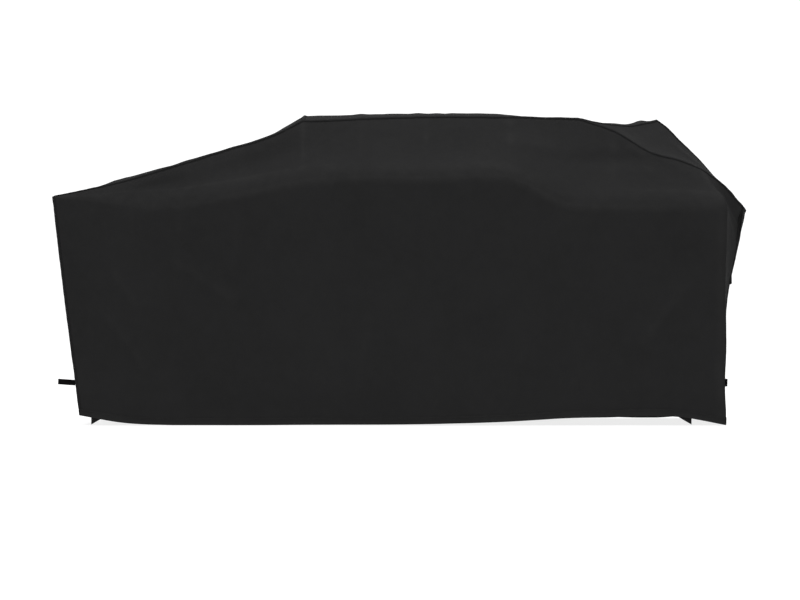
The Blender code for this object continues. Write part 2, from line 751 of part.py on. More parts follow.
# Vents in the rear panel
def vent(name, x):
    panel = bpy.data.objects["rear_panel"]
    wide, tall = VENT_WIDE / 2, VENT_TALL / 2
    here = Matrix.Translation((x, rear(0), VENT_HEIGHT))
    cut(panel, f"{name}_window", (-wide, -0.01, -tall), (wide, 0.01, tall), here)
    low = (-wide + GAP, -PATCH_THICK / 2, -tall + GAP)
    high = (wide - GAP, PATCH_THICK / 2, tall - GAP)
    block(f"{name}_vent_mesh", low, high, here, MESH)
    hinge_z = VENT_HEIGHT + tall + VENT_LAP
    stand = CLOTH + 2 * GAP
    hinge = Matrix.Translation((x, rear(0) + stand, hinge_z))
    low = (-wide - VENT_LAP, -CLOTH / 2, -VENT_TALL - 2 * VENT_LAP)
    high = (wide + VENT_LAP, CLOTH / 2, 0)
    block(f"{name}_vent_flap", low, high, hinge, FABRIC)


# Leg straps inside the hem
def leg_strap(name, outer_x, inward, y, into):
    """A hook-and-loop strap that hangs inside the skirt, longest on its outer side."""
    wide = LEG_STRAP_WIDTH
    stand = y + into * LEG_STRAP_STAND
    hinge = axes((outer_x, stand, LEG_STRAP_TOP), (inward, 0, 0), (0, -inward, 0))
    drop = LEG_STRAP_TOP - LEG_STRAP_FOOT
    outline = [(0, 0), (0, -drop), (wide, -drop + LEG_STRAP_BEVEL), (wide, 0)]
    plate(f"{name}_leg_strap", outline, WEB, hinge, LOOP)
    low = (0, WEB, -PATCH_THICK / 2)
    high = (wide, PATCH, PATCH_THICK / 2)
    block(f"{name}_leg_strap_patch", low, high, hinge, WEBBING)


def leg_straps():
    left_x, right_x = left(LEG_STRAP_X[0]), right(LEG_STRAP_X[1])
    for name, y, into in (("front", front(0), 1), ("rear", rear(0), -1)):
        leg_strap(f"{name}_left", left_x, 1, y, into)
        leg_strap(f"{name}_right", right_x, -1, y, into)


shell()
seams()
hems()
straps()
handle("left", LEFT_EDGE, -1, 0)
handle("right", BULGE, 1, (REAR_SEAM[BULGE][1] + FRONT_SEAM[BULGE][1]) / 2)
vent("left", -VENT_X)
vent("right", VENT_X)
leg_straps()
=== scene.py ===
"""The looks of the grill cover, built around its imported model.

Metres, +Z up, the front faces -Y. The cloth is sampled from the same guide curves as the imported
solids, settled over the grill by a cloth simulation, and cut into its seven sewn panels.
"""

import math
from itertools import product

import bmesh
import bpy
import numpy as np
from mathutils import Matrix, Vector
from mathutils.kdtree import KDTree


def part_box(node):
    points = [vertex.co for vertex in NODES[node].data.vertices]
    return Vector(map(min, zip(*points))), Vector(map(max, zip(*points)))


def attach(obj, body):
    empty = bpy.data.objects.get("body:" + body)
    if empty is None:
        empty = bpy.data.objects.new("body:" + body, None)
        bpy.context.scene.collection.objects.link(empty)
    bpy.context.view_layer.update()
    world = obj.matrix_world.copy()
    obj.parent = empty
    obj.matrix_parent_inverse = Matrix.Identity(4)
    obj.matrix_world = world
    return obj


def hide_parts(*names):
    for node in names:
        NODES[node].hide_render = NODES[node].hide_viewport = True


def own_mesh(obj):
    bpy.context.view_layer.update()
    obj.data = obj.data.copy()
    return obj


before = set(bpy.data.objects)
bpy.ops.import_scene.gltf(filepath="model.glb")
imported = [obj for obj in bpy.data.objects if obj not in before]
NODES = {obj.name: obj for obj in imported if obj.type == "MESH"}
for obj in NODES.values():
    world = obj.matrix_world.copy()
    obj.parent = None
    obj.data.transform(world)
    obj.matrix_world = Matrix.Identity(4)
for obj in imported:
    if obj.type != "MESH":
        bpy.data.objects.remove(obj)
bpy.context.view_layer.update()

SCENE = bpy.context.scene
SEWN_ON = [n for n in NODES if "patch" in n or "strap" in n or "vent" in n or "socket" in n]

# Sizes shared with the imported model
LENGTH = 2.480
DEPTH = 0.66
SHELF_HEIGHT = 0.80
RIDGE_HEIGHT = 1.120
LEFT_RUN = 0.868  # the left slope, from the end's top edge to the lid
RIGHT_RUN_FRONT = 0.623  # the right slope along the front seam
CROWN_RUN = 0.450  # and along the crown
RIGHT_RUN_REAR = 0.312  # and along the rear seam
LEFT_TUCK = 0.0945  # how far the hem stands in from the left end's top edge
RIGHT_TUCK = 0.1265  # the same below the bulge at the right end
SHOULDER_ROUND = 0.045  # run of the bend between skirt and hood, each way
SEAM_INSET = 0.0036  # cloth edge to the middle of its seam
HEM_HEIGHT = 0.025
HANDLE_WEB = 0.025
LEG_STRAP_WIDTH = 0.045
LEG_STRAP_BEVEL = 0.026  # rise of the slanted tip

# Camera, light and floor
LENS = 102.9
CAMERA_AT = (-0.0256, -8.33, 0.35)
CAMERA_TO = (-0.0256, 0, 0.4415)
FAR = 200  # how far the camera sees
WORLD = 1.14
FLOOR_GREY = 0.3
FLOOR_GLOW = 0.82  # the floor is a light table
FLOOR_REACH = 60
FLOOR_DROP = 0.002  # keeps the floor clear of the hem
LAMP_AT = (0.3, -0.6, 5.2)
LAMP_TO = (0, 0.1, 0.8)
LAMP_SIZE = (5.0, 3.5)
LAMP_POWER = 210

# The cloth's grids
STEP = 0.0095  # spacing of the cloth's points
SIM_STEP = 0.026  # and of the simulated ones
HOOD_RUN = 0.33  # cloth from shoulder to seam, which sets the hood's rows
STRIP_RUN = 0.5  # and across the strip
CENTRE = np.array((0, 0, 0.45))  # a point that every panel faces away from

# The simulation
SIM_FRAMES = 26
STAND = 0.007  # from the cloth to the form under it
FORM_WAIST = 0.70  # below this height the form draws in
FORM_NARROWING = 0.25  # over this run
FORM_DRAWN_IN = 0.05  # and by this much
MOST = 0.010  # the most that a point moves as the cloth settles
SPREAD = 0.022  # how far each simulated point's move reaches
NEIGHBOURS = 10

# The cloth's own shape
PANEL_THICK = 0.0013
HOOD_SAG = 0.018
HOOD_SAG_START = (0.04, 0.34)  # where along the hood the sag sets in
HOOD_SAG_END = (0.72, 0.95)  # where it lessens
HOOD_SAG_LOSS = 0.40
SLOPE_SAG = 0.0005
EDGE_HOLD = 0.06  # how far a seam keeps the cloth beside it in shape
SEWN_HOLD = (0.008, 0.10)  # and what is sewn on, where the cloth is still and where it is free
WAVES = (  # marks across, seed and height of each kind of unevenness
    ((0.42, 0.3, 0.3), 3, 0.0030),
    (0.16, 4, 0.0014),
    (0.055, 6, 0.0006),
    (0.028, 7, 0.0003),
)
DRAPES = (  # marks across, seed, height, what it gains at the foot, and how fast
    ((0.17, 0.17, 0.95), 1, 0.0012, 0.0065, 1.6),
    ((0.075, 0.075, 0.5), 2, 0.0004, 0.0022, 2),
)
DRAPE_TOP = 0.62
PUCKER = 0.0006
PUCKER_PITCH = 0.027
PUCKER_REACH = 0.016
PUCKER_RUN = (1.0, 1.3, 0.9)  # puckers follow a seam whichever way it runs
BEND = (1.5, 14.0)  # folds that start to wear and that are worn, as one over metres
WEAR_ON_FOLDS, WEAR_AT_SEAMS, WEAR_AT_HEM, WEAR_ON_TOP = 0.30, 0.25, 0.30, 0.20
SEAM_WEAR_REACH = 0.008

# Stitches, as pitch, length and width
SEAM_STITCH = (0.0046, 0.0034, 0.0011)
PATCH_STITCH = (0.0032, 0.0024, 0.0009)
HANDLE_STITCH = (0.0032, 0.0024, 0.0011)
STRAP_STITCH = (0.0036, 0.0027, 0.0011)
THREAD_HIGH, THREAD_SIDE, THREAD_END, THREAD_DEEP = 0.0007, 0.0002, 0.0001, 0.0004

# Seam binding
TAPE_REACH = 0.0062  # each way from the seam
TAPE_FOOT, TAPE_EDGE, TAPE_MIDDLE, TAPE_CREST = 0.0003, 0.0011, 0.0018, 0.0026
TAPE_UNDER = 0.0012
TAPE_STITCHES = ((0.0048, 0.0014), (0.0090, 0.0002))  # in from the seam, and off the cloth
TAPE_WEAR = (0.1, 0.4, 0.3, 0.8, 0.3, 0.4, 0.1, 0)

# Hems, from the top of the outside round the foot to the top of the inside
HEM_MIDDLE, HEM_TOP = 0.010, 0.020  # up from the grid's foot
HEM_FOLD = 0.0050  # down from it
HEM_SECTION = (  # which line, how far off the cloth, 1 where the fold swells, and wear
    ("top", 0.0002, 0, 0.3),
    ("top", 0.0012, 0, 0.5),
    ("middle", 0.0020, 1, 0.1),
    ("foot", 0.0021, 1, 0.35),
    ("bottom", 0.0012, 0, 0.8),
    ("bottom", -0.0020, 0, 0.6),
    ("foot", -0.0032, 0, 0.2),
    ("middle", -0.0032, 0, 0),
    ("top", -0.0024, 0, 0),
)
HEM_STITCHES = (0.0135, 0.0175)
HEM_STITCH_LIFT = 0.0019

# Webbing and its patches
WEB_THICK = 0.0016
WEB_RIBS = 7
WEB_STEP = 0.0017
WEB_RELIEF = 0.00016
PATCH_STEPS = 26
PATCH_HIGH, PATCH_ROUND, PATCH_RIB = 0.0016, 0.0013, 0.0002
PATCH_BOX = 0.78  # the sewn square's share of the patch
PATCH_DIP = 0.0006  # how far its stitches pull in
PATCH_SINK = 0.0008  # how far it beds in the cloth
PATCH_BODY = 0.0009  # its thickness
PATCH_STITCH_LIFT = 0.0013
BOX = ((-1, -1), (1, -1), (1, 1), (-1, 1), (-1, -1), (1, 1))  # a square and its diagonal
CROSS = ((1, -1), (-1, 1))
BUCKLE_ROUND = 0.0007
HANDLE_THICK = 0.0014
HANDLE_LAP = 0.0008  # each way from the middle, where two lengths cross
HANDLE_DRAW = 0.004  # how far its legs lean in at the foot
HANDLE_DIP = 0.0035
HANDLE_BOX = 0.0085
HANDLE_STITCH_LIFT = 0.0017

# Vents
NET_PITCH = 0.0031
NET_YARN = 0.0004
NET_SHIFT = 0.0002  # how far the crossing yarns stand apart, each way
FRAME_WIDE = 0.0125
FRAME_OUT = 0.0055  # from the window to the middle of its binding
FRAME_STEP = 0.006
FRAME_SECTION = (  # across, off the cloth, and wear
    (-1, 0.0001, 0.2),
    (-0.9, 0.0011, 0.5),
    (0, 0.0014, 0.1),
    (0.9, 0.0011, 0.5),
    (1, 0.0001, 0.2),
    (0, -0.0018, 0),
)
FRAME_STITCH_AT, FRAME_STITCH_LIFT = 0.62, 0.0014
FLAP_COLUMNS, FLAP_ROWS = 58, 30
FLAP_THICK = 0.0011
FLAP_SECTION = (  # in from the edge, off the cloth, and wear
    (0.011, 0.0004, 0.2),
    (0.010, 0.0010, 0.3),
    (0.0, 0.0012, 0.8),
    (-0.0012, -0.0005, 0.8),
    (0, -0.0020, 0.3),
    (0.010, -0.0019, 0.1),
)
FLAP_STITCH_IN, FLAP_STITCH_LIFT = 0.7, 0.0002
FLAP_TOP_ROWS, FLAP_TOP_LIFT = (1, 3), 0.0003

# Leg straps
STRAP_COLUMNS, STRAP_ROWS = 31, 41
STRAP_THICK = 0.0020
STRAP_WAVE = 0.0016
STRAP_STITCH_LIFT = 0.0011

# Colours, near black
CLOTH_DARK = (0.0115, 0.0115, 0.0116)
CLOTH_PLAIN = (0.0133, 0.0133, 0.0135)
CLOTH_CLOUD = (0.0158, 0.0158, 0.0160)
CLOTH_SPECK = (0.0205, 0.0205, 0.0208)
CLOTH_WORN = (0.0248, 0.0246, 0.0242)
CLOTH_YARN = (0.0167, 0.0167, 0.0170)
ACETAL, ACETAL_SCUFF = (0.005, 0.005, 0.0053), (0.012, 0.012, 0.0124)
NAP_DARK, NAP_PALE, NAP_CLOUD = (0.003,) * 3, (0.012,) * 3, (0.009,) * 3
RIBBED = {  # name, axes of the weave, dark and light, pitch and roughness
    "binding": ("binding_tape", (0, 2), (0.0070, 0.0070, 0.0071), (0.0105, 0.0105, 0.0107), 0.0012, 0.75),
    "thread": ("sewing_thread", (1, 2), (0.009,) * 3, (0.015,) * 3, 0.0008, 0.5),
    "webbing": (
        "polypropylene_webbing", (1, 2), (0.0024, 0.0024, 0.0025), (0.0048, 0.0048, 0.005), 0.0022, 0.6
    ),
    "mesh": ("mesh_yarn", (0, 2), (0.004,) * 3, (0.007,) * 3, 0.0016, 0.55),
}

# Drag lines, as start, end, half width and height
FOLDS = {
    "front_panel": (
        ((-1.05, -0.32, 0.82), (-0.70, -0.29, 0.87), 0.045, -0.007),
        ((-0.75, -0.29, 0.85), (-0.33, -0.215, 1.02), 0.045, -0.007),
        ((0.57, -0.24, 0.960), (0.88, -0.21, 0.950), 0.038, -0.009),
        ((0.30, -0.20, 1.02), (0.62, -0.21, 0.985), 0.035, 0.005),
        ((-0.86, -0.33, 0.61), (-0.58, -0.33, 0.43), 0.032, 0.005),
        ((-1.06, -0.33, 0.58), (-0.91, -0.33, 0.38), 0.028, 0.004),
        ((-1.10, -0.33, 0.46), (-0.88, -0.33, 0.16), 0.030, 0.004),
        ((0.75, -0.33, 0.22), (1.08, -0.33, 0.62), 0.035, 0.005),
        ((0.52, -0.33, 0.05), (0.60, -0.33, 0.48), 0.028, -0.004),
        ((-0.20, -0.33, 0.04), (-0.12, -0.33, 0.42), 0.030, 0.003),
    ),
    "rear_panel": (
        ((-0.80, 0.28, 0.85), (-0.35, 0.22, 1.00), 0.050, -0.007),
        ((0.62, 0.33, 0.50), (1.06, 0.33, 0.78), 0.034, 0.007),
        ((0.72, 0.33, 0.33), (1.10, 0.33, 0.60), 0.030, 0.006),
        ((0.86, 0.30, 1.02), (1.10, 0.31, 0.82), 0.034, 0.006),
        ((-1.16, 0.33, 0.74), (-0.86, 0.33, 0.42), 0.034, 0.006),
        ((-1.12, 0.33, 0.50), (-0.96, 0.33, 0.20), 0.028, 0.005),
        ((-0.34, 0.33, 0.04), (-0.26, 0.33, 0.52), 0.030, 0.005),
        ((0.18, 0.33, 0.04), (0.26, 0.33, 0.46), 0.034, -0.005),
        ((0.10, 0.27, 0.93), (0.55, 0.25, 0.96), 0.030, 0.005),
    ),
    "left_end_panel": (
        ((-1.23, -0.29, 0.77), (-1.20, -0.10, 0.60), 0.030, 0.005),
        ((-1.23, 0.29, 0.77), (-1.20, 0.10, 0.61), 0.030, 0.005),
        ((-1.20, -0.08, 0.50), (-1.17, -0.24, 0.22), 0.026, 0.006),
        ((-1.20, 0.08, 0.50), (-1.17, 0.20, 0.24), 0.026, 0.006),
        ((-1.19, -0.02, 0.44), (-1.16, 0.02, 0.20), 0.030, -0.005),
    ),
    "right_end_panel": (
        ((1.18, -0.06, 0.74), (1.15, 0.02, 0.55), 0.026, 0.006),
        ((1.20, 0.24, 0.74), (1.15, 0.16, 0.55), 0.026, 0.006),
        ((1.13, 0.00, 0.46), (1.11, -0.12, 0.20), 0.026, 0.006),
        ((1.13, 0.16, 0.46), (1.11, 0.26, 0.22), 0.026, 0.006),
    ),
    "left_slope_panel": (
        ((-1.18, -0.24, 0.83), (-0.74, -0.02, 0.93), 0.040, 0.005),
        ((-1.16, 0.26, 0.83), (-0.80, 0.06, 0.92), 0.040, 0.005),
        ((-0.62, 0.14, 0.95), (-0.44, -0.10, 1.05), 0.034, -0.005),
    ),
    "top_panel": (
        ((-0.33, 0.11, 1.10), (0.20, 0.13, 1.10), 0.040, 0.004),
        ((0.10, -0.14, 1.10), (0.60, -0.10, 1.09), 0.034, -0.004),
        ((0.42, 0.12, 1.09), (0.76, 0.14, 1.08), 0.030, 0.005),
    ),
    "right_slope_panel": (
        ((0.90, 0.00, 1.06), (1.03, -0.03, 0.99), 0.024, -0.008),
        ((0.96, 0.10, 1.03), (1.12, 0.08, 0.88), 0.026, 0.005),
    ),
}

# Single swellings, as middle, reach and how far the cloth moves there
LUMPS = (
    ((0.862, 0.16, 1.09), (0.026, 0.07, 0.2), (0, 0, 0.010)),
    ((0.805, 0.13, 1.08), (0.030, 0.10, 0.2), (0, 0, -0.006)),
    ((1.14, 0.0, 0.47), (0.06, 0.30, 0.12), (-0.012, 0, 0)),
)


# The outline's landmarks are offsets from the overall sizes.
def left(x):
    return -LENGTH / 2 + x


def right(x):
    return LENGTH / 2 - x


def front(y):
    return -DEPTH / 2 + y


def rear(y):
    return DEPTH / 2 - y


def rise(share):
    return SHELF_HEIGHT + share * (RIDGE_HEIGHT - SHELF_HEIGHT)


def climb(share):
    """X at a share of the way up the left slope."""
    return left(LEFT_RUN * share)


def fall(share, run):
    """X at a share of the way down the right slope."""
    return right(run * (1 - share))


def lid(share, run):
    """X at a share of the way along the lid."""
    return left(LEFT_RUN) + share * (right(run) - left(LEFT_RUN))


def front_fall(share):
    return fall(share, RIGHT_RUN_FRONT)


def rear_fall(share):
    return fall(share, RIGHT_RUN_REAR)


# Each guide has a point at each of these stations, from the left end to the right bulge.
LEFT_EDGE, LEFT_RIDGE, RIGHT_RIDGE, FOLD, BULGE = 0, 5, 8, 12, 14

FRONT_SEAM = (
    (climb(0), front(0), rise(0)),
    (climb(0.251), front(0.040), rise(0.17)),
    (climb(0.477), front(0.075), rise(0.355)),
    (climb(0.719), front(0.115), rise(0.57)),
    (climb(0.849), front(0.135), rise(0.68)),
    (climb(1), front(0.165), rise(0.88)),
    (lid(0.47, RIGHT_RUN_FRONT), front(0.190), rise(0.93)),
    (lid(0.76, RIGHT_RUN_FRONT), front(0.200), rise(0.93)),
    (front_fall(0), front(0.210), rise(0.917)),
    (front_fall(0.20), front(0.180), rise(0.77)),
    (front_fall(0.40), front(0.140), rise(0.53)),
    (front_fall(0.584), front(0.130), rise(0.417)),
    (front_fall(0.69), front(0.140), rise(0.33)),
    (front_fall(0.81), front(0.170), rise(0.185)),
    (front_fall(0.962), front(0.250), rise(-0.077)),
)
CROWN = (
    (climb(0), 0, rise(0)),
    (climb(0.262), 0, rise(0.238)),
    (climb(0.477), 0, rise(0.411)),
    (climb(0.707), 0, rise(0.608)),
    (climb(0.849), 0, rise(0.752)),
    (climb(1), 0, rise(0.972)),
    (lid(0.40, CROWN_RUN), 0, rise(1)),
    (lid(0.70, CROWN_RUN), 0, rise(0.974)),
    (fall(0, CROWN_RUN), 0, rise(0.872)),
    (fall(0.18, CROWN_RUN), 0, rise(0.74)),
    (fall(0.36, CROWN_RUN), 0, rise(0.58)),
    (fall(0.56, CROWN_RUN), 0, rise(0.44)),
    (fall(0.69, CROWN_RUN), 0, rise(0.32)),
    (fall(0.84, CROWN_RUN), 0.020, rise(0.155)),
    (fall(1, CROWN_RUN), 0.070, rise(-0.105)),
)
REAR_SEAM = (
    (climb(0), rear(0), rise(0)),
    (climb(0.251), rear(0.040), rise(0.185)),
    (climb(0.477), rear(0.070), rise(0.365)),
    (climb(0.719), rear(0.105), rise(0.57)),
    (climb(0.849), rear(0.125), rise(0.68)),
    (climb(1), rear(0.160), rise(0.895)),
    (lid(0.38, RIGHT_RUN_REAR), rear(0.165), rise(0.93)),
    (lid(0.89, RIGHT_RUN_REAR), rear(0.175), rise(0.865)),
    (rear_fall(0), rear(0.170), rise(0.977)),
    (rear_fall(0.13), rear(0.165), rise(0.88)),
    (rear_fall(0.31), rear(0.155), rise(0.71)),
    (rear_fall(0.47), rear(0.145), rise(0.565)),
    (rear_fall(0.62), rear(0.130), rise(0.415)),
    (rear_fall(0.80), rear(0.110), rise(0.215)),
    (rear_fall(0.97), rear(0.080), rise(-0.031)),
)
FRONT_SHOULDER = (
    (climb(0), front(0), rise(0)),
    (climb(0.251), front(0), rise(0)),
    (climb(0.477), front(0), rise(0)),
    (climb(0.719), front(0), rise(0.11)),
    (climb(0.849), front(0), rise(0.185)),
    (climb(1), front(0), rise(0.262)),
    (lid(0.47, RIGHT_RUN_FRONT), front(0), rise(0.309)),
    (lid(0.73, RIGHT_RUN_FRONT), front(0), rise(0.309)),
    (front_fall(-0.06), front(0), rise(0.01)),
    (front_fall(0.17), front(0), rise(-0.006)),
    (front_fall(0.38), front(0), rise(-0.006)),
    (front_fall(0.57), front(0), rise(-0.006)),
    (right(0.1245), front(0), rise(-0.012)),
    (right(0.090), front(0.120), rise(-0.124)),
    (right(0.047), front(0.230), rise(-0.432)),
)
FRONT_HEM = (
    (left(LEFT_TUCK), front(0), 0.034),
    (climb(0.286), front(0), 0.008),
    (climb(0.485), front(0), 0),
    (climb(0.719), front(0), 0),
    (climb(0.849), front(0), 0),
    (climb(1), front(0), 0.001),
    (lid(0.47, RIGHT_RUN_FRONT), front(0), 0.004),
    (lid(0.73, RIGHT_RUN_FRONT), front(0), 0.012),
    (front_fall(-0.06), front(0), 0.025),
    (front_fall(0.14), front(0), 0.027),
    (front_fall(0.38), front(0), 0.032),
    (front_fall(0.545), front(0), 0.028),
    (right(RIGHT_TUCK + 0.003), front(0), 0),
    (right(RIGHT_TUCK), front(0.085), 0.004),
    (right(RIGHT_TUCK), front(0.170), 0.010),
)
REAR_SHOULDER = (
    (climb(0), rear(0), rise(0)),
    (climb(0.251), rear(0), rise(0)),
    (climb(0.477), rear(0), rise(0)),
    (climb(0.719), rear(0), rise(0.11)),
    (climb(0.849), rear(0), rise(0.185)),
    (climb(1), rear(0), rise(0.262)),
    (lid(0.36, RIGHT_RUN_REAR), rear(0), rise(0.309)),
    (lid(0.66, RIGHT_RUN_REAR), rear(0), rise(0.309)),
    (rear_fall(-0.45), rear(0), rise(0.24)),
    (rear_fall(-0.18), rear(0), rise(0.14)),
    (rear_fall(0.06), rear(0), rise(0.07)),
    (rear_fall(0.25), rear(0), rise(0.03)),
    (rear_fall(0.40), rear(0), rise(0)),
    (rear_fall(0.52), rear(0), rise(-0.06)),
    (right(0.066), rear(0.014), rise(-0.37)),
)
REAR_HEM = (
    (left(LEFT_TUCK), rear(0), 0.030),
    (climb(0.286), rear(0), 0.004),
    (climb(0.485), rear(0), 0),
    (climb(0.719), rear(0), 0),
    (climb(0.849), rear(0), 0.004),
    (climb(1), rear(0), 0.009),
    (lid(0.36, RIGHT_RUN_REAR), rear(0), 0.013),
    (lid(0.66, RIGHT_RUN_REAR), rear(0), 0.006),
    (rear_fall(-0.45), rear(0), 0.002),
    (rear_fall(-0.18), rear(0), 0),
    (rear_fall(0.06), rear(0), 0),
    (rear_fall(0.25), rear(0), 0.004),
    (rear_fall(0.36), rear(0), 0.008),
    (rear_fall(0.46), rear(0), 0.012),
    (right(RIGHT_TUCK), rear(0), 0.016),
)


def waist(hems, shoulders, bulge):
    """The skirt's points halfway up: straight on most stations, drawn in at the right end."""
    middles = [tuple((a + b) / 2 for a, b in zip(*pair)) for pair in zip(hems, shoulders)]
    fold = middles[-2]
    return (*middles[:-2], (fold[0] - 0.008, *fold[1:]), bulge)


FRONT_WAIST = waist(FRONT_HEM, FRONT_SHOULDER, (right(0.1145), front(0.185), 0.30))
REAR_WAIST = waist(REAR_HEM, REAR_SHOULDER, (right(0.1145), rear(0), 0.30))


class Guide:
    """A smooth curve through one point for each station, with a corner at the stations named."""

    def __init__(self, points, corners):
        self.points = np.array(points, float)
        self.corners = {0, len(points) - 1, *corners}
        self.chords = np.diff(self.points, axis=0)
        self.lengths = np.linalg.norm(self.chords, axis=1)

    def heading(self, station, chord):
        """The curve's direction as it passes a station along one of its two chords."""
        ways = self.chords / self.lengths[:, None]
        if station in self.corners:
            return ways[chord]
        before, after = self.lengths[station - 1], self.lengths[station]
        return (ways[station - 1] * after + ways[station] * before) / (before + after)

    def at(self, place):
        i = min(int(place), len(self.lengths) - 1)
        t = place - i
        start, end, length = self.points[i], self.points[i + 1], self.lengths[i]
        leaving = self.heading(i, i) * length
        arriving = self.heading(i + 1, i) * length
        return (
            start * (2 * t**3 - 3 * t**2 + 1)
            + leaving * (t**3 - 2 * t**2 + t)
            + end * (3 * t**2 - 2 * t**3)
            + arriving * (t**3 - t**2)
        )


RIDGES = (LEFT_RIDGE, RIGHT_RIDGE)
FRONT = tuple(Guide(p, (FOLD,)) for p in (FRONT_HEM, FRONT_WAIST, FRONT_SHOULDER))
FRONT = (*FRONT, Guide(FRONT_SEAM, RIDGES))
REAR = tuple(Guide(p, ()) for p in (REAR_HEM, REAR_WAIST, REAR_SHOULDER))
REAR = (*REAR, Guide(REAR_SEAM, RIDGES))
TOP = Guide(CROWN, RIDGES)


def arc(start, middle, end, t):
    """A point on the parabola through three points."""
    return start * (1 - t) * (1 - 2 * t) + middle * 4 * t * (1 - t) + end * t * (2 * t - 1)


def skirt(side, place, height):
    """The skirt's point at a height above the hem, measured along the cloth."""
    hem, middle, shoulder = (guide.at(place) for guide in side[:3])
    hem = np.array((hem[0], hem[1], max(hem[2], 0)))
    length = np.linalg.norm(shoulder - hem)
    return arc(hem, middle, shoulder, height / length), length


def over(place, share):
    """A point on the strip, a share of the way from the front seam over the crown to the rear."""
    return arc(FRONT[3].at(place), TOP.at(place), REAR[3].at(place), share)


# Camera, light and floor
def aimed(thing, place, target):
    SCENE.collection.objects.link(thing)
    thing.location = place
    thing.rotation_euler = (Vector(target) - Vector(place)).to_track_quat("-Z", "Y").to_euler()


def stage():
    camera = bpy.data.objects.new("camera", bpy.data.cameras.new("camera"))
    camera.data.lens = LENS
    camera.data.clip_end = FAR
    aimed(camera, CAMERA_AT, CAMERA_TO)
    SCENE.camera = camera
    SCENE.view_settings.view_transform = "Standard"
    world = bpy.data.worlds.new("studio")
    world.use_nodes = True
    back = world.node_tree.nodes["Background"]
    back.inputs["Color"].default_value = (1, 1, 1, 1)
    back.inputs["Strength"].default_value = WORLD
    SCENE.world = world
    lamp = bpy.data.objects.new("top_light", bpy.data.lights.new("top_light", "AREA"))
    lamp.data.shape = "RECTANGLE"
    lamp.data.size, lamp.data.size_y = LAMP_SIZE
    lamp.data.energy = LAMP_POWER
    aimed(lamp, LAMP_AT, LAMP_TO)
    data = bpy.data.meshes.new("floor")
    corners = [(x * FLOOR_REACH, y * FLOOR_REACH, 0) for x, y in BOX[:4]]
    data.from_pydata(corners, [], [(0, 1, 2, 3)])
    floor = bpy.data.objects.new("floor", data)
    SCENE.collection.objects.link(floor)
    paint = bpy.data.materials.new("floor")
    paint.use_nodes = True
    shader = paint.node_tree.nodes["Principled BSDF"]
    shader.inputs["Base Color"].default_value = (FLOOR_GREY, FLOOR_GREY, FLOOR_GREY, 1)
    shader.inputs["Emission Color"].default_value = (1, 1, 1, 1)
    shader.inputs["Emission Strength"].default_value = FLOOR_GLOW
    shader.inputs["Roughness"].default_value = 0.9
    shader.inputs["Specular IOR Level"].default_value = 0.1
    data.materials.append(paint)
    floor.location.z = -FLOOR_DROP


# Noise and small helpers
def noise(points, scale, seed=0):
    """Smooth noise from -1 to 1 at points, with its own scale along each axis."""
    spot = np.asarray(points) / scale + 7.31 * (seed + 1)
    cell = np.floor(spot).astype(np.int64)
    t = spot - cell
    t = t * t * (3 - 2 * t)
    total = np.zeros(spot.shape[:-1])
    for corner in product((0, 1), repeat=3):
        c = cell + corner
        mixed = c[..., 0] * 73856093 ^ c[..., 1] * 19349663 ^ c[..., 2] * 83492791
        mixed = (mixed ^ (mixed >> 13)) * 1274126177 & 0x7FFFFFFF
        mixed = (mixed ^ (mixed >> 11)) * 668265263 & 0x7FFFFFFF
        weight = np.prod(np.where(corner, t, 1 - t), axis=-1)
        total += (mixed / 0x3FFFFFFF - 1) * weight
    return total


def patchy(points, scale, seed):
    """The same noise from 0 to 1."""
    return 0.5 + 0.5 * noise(points, scale, seed)


def ramp(value, low, high):
    """0 below low, 1 above high, smooth between."""
    t = np.clip((value - low) / (high - low), 0, 1)
    return t * t * (3 - 2 * t)


def unit(rows):
    """Vectors made 1 long."""
    return rows / np.maximum(np.linalg.norm(rows, axis=-1, keepdims=True), 1e-12)


def repeated(way, count):
    return np.tile(np.array(way, float), (count, 1))


def normals(grid):
    """The outward normal at each point of a grid of points."""
    found = unit(np.cross(np.gradient(grid, axis=0), np.gradient(grid, axis=1)))
    return -found if ((grid - CENTRE) * found).sum() < 0 else found


def run_of(points):
    """How far each point of a line is from its start."""
    return np.concatenate([[0], np.cumsum(np.linalg.norm(np.diff(points, axis=0), axis=1))])


def read_off(run, at, *rows):
    """Rows of vectors read off at distances along their line."""
    return [np.stack([np.interp(at, run, row[:, k]) for k in range(3)], -1) for row in rows]


def walk(lines, distance):
    """The point at a distance in from the start of each line of points."""
    return np.array([read_off(run_of(points), distance, points)[0] for points in lines])


# The cloth's grids
def stations(first, last, step):
    """Places from one station to another, evenly spaced along the crown."""
    found = [first]
    for station in range(first, last):
        steps = max(2, round(TOP.lengths[station] / step))
        found += [station + (k + 1) / steps for k in range(steps)]
    return found


def profile(side, place, step, foot):
    """The cloth's line at a place: up the skirt, round the shoulder and up the hood."""
    length = skirt(side, place, 0)[1]
    shoulder, seam = side[2].at(place), side[3].at(place)
    hood = np.linalg.norm(seam - shoulder)
    bend = min(SHOULDER_ROUND, 0.4 * hood)
    heights = np.linspace(foot, length - bend, round(SHELF_HEIGHT / step))
    rows = [skirt(side, place, h)[0] for h in heights]
    start = rows[-1]
    past = shoulder + (seam - shoulder) * (bend / max(hood, SEAM_INSET))
    for t in np.linspace(0, 1, round(2 * SHOULDER_ROUND / step) + 1)[1:]:
        rows.append(start * (1 - t) ** 2 + 2 * shoulder * t * (1 - t) + past * t**2)
    rows += [past + (seam - past) * t for t in np.linspace(0, 1, round(HOOD_RUN / step) + 1)[1:]]
    return np.array(rows)


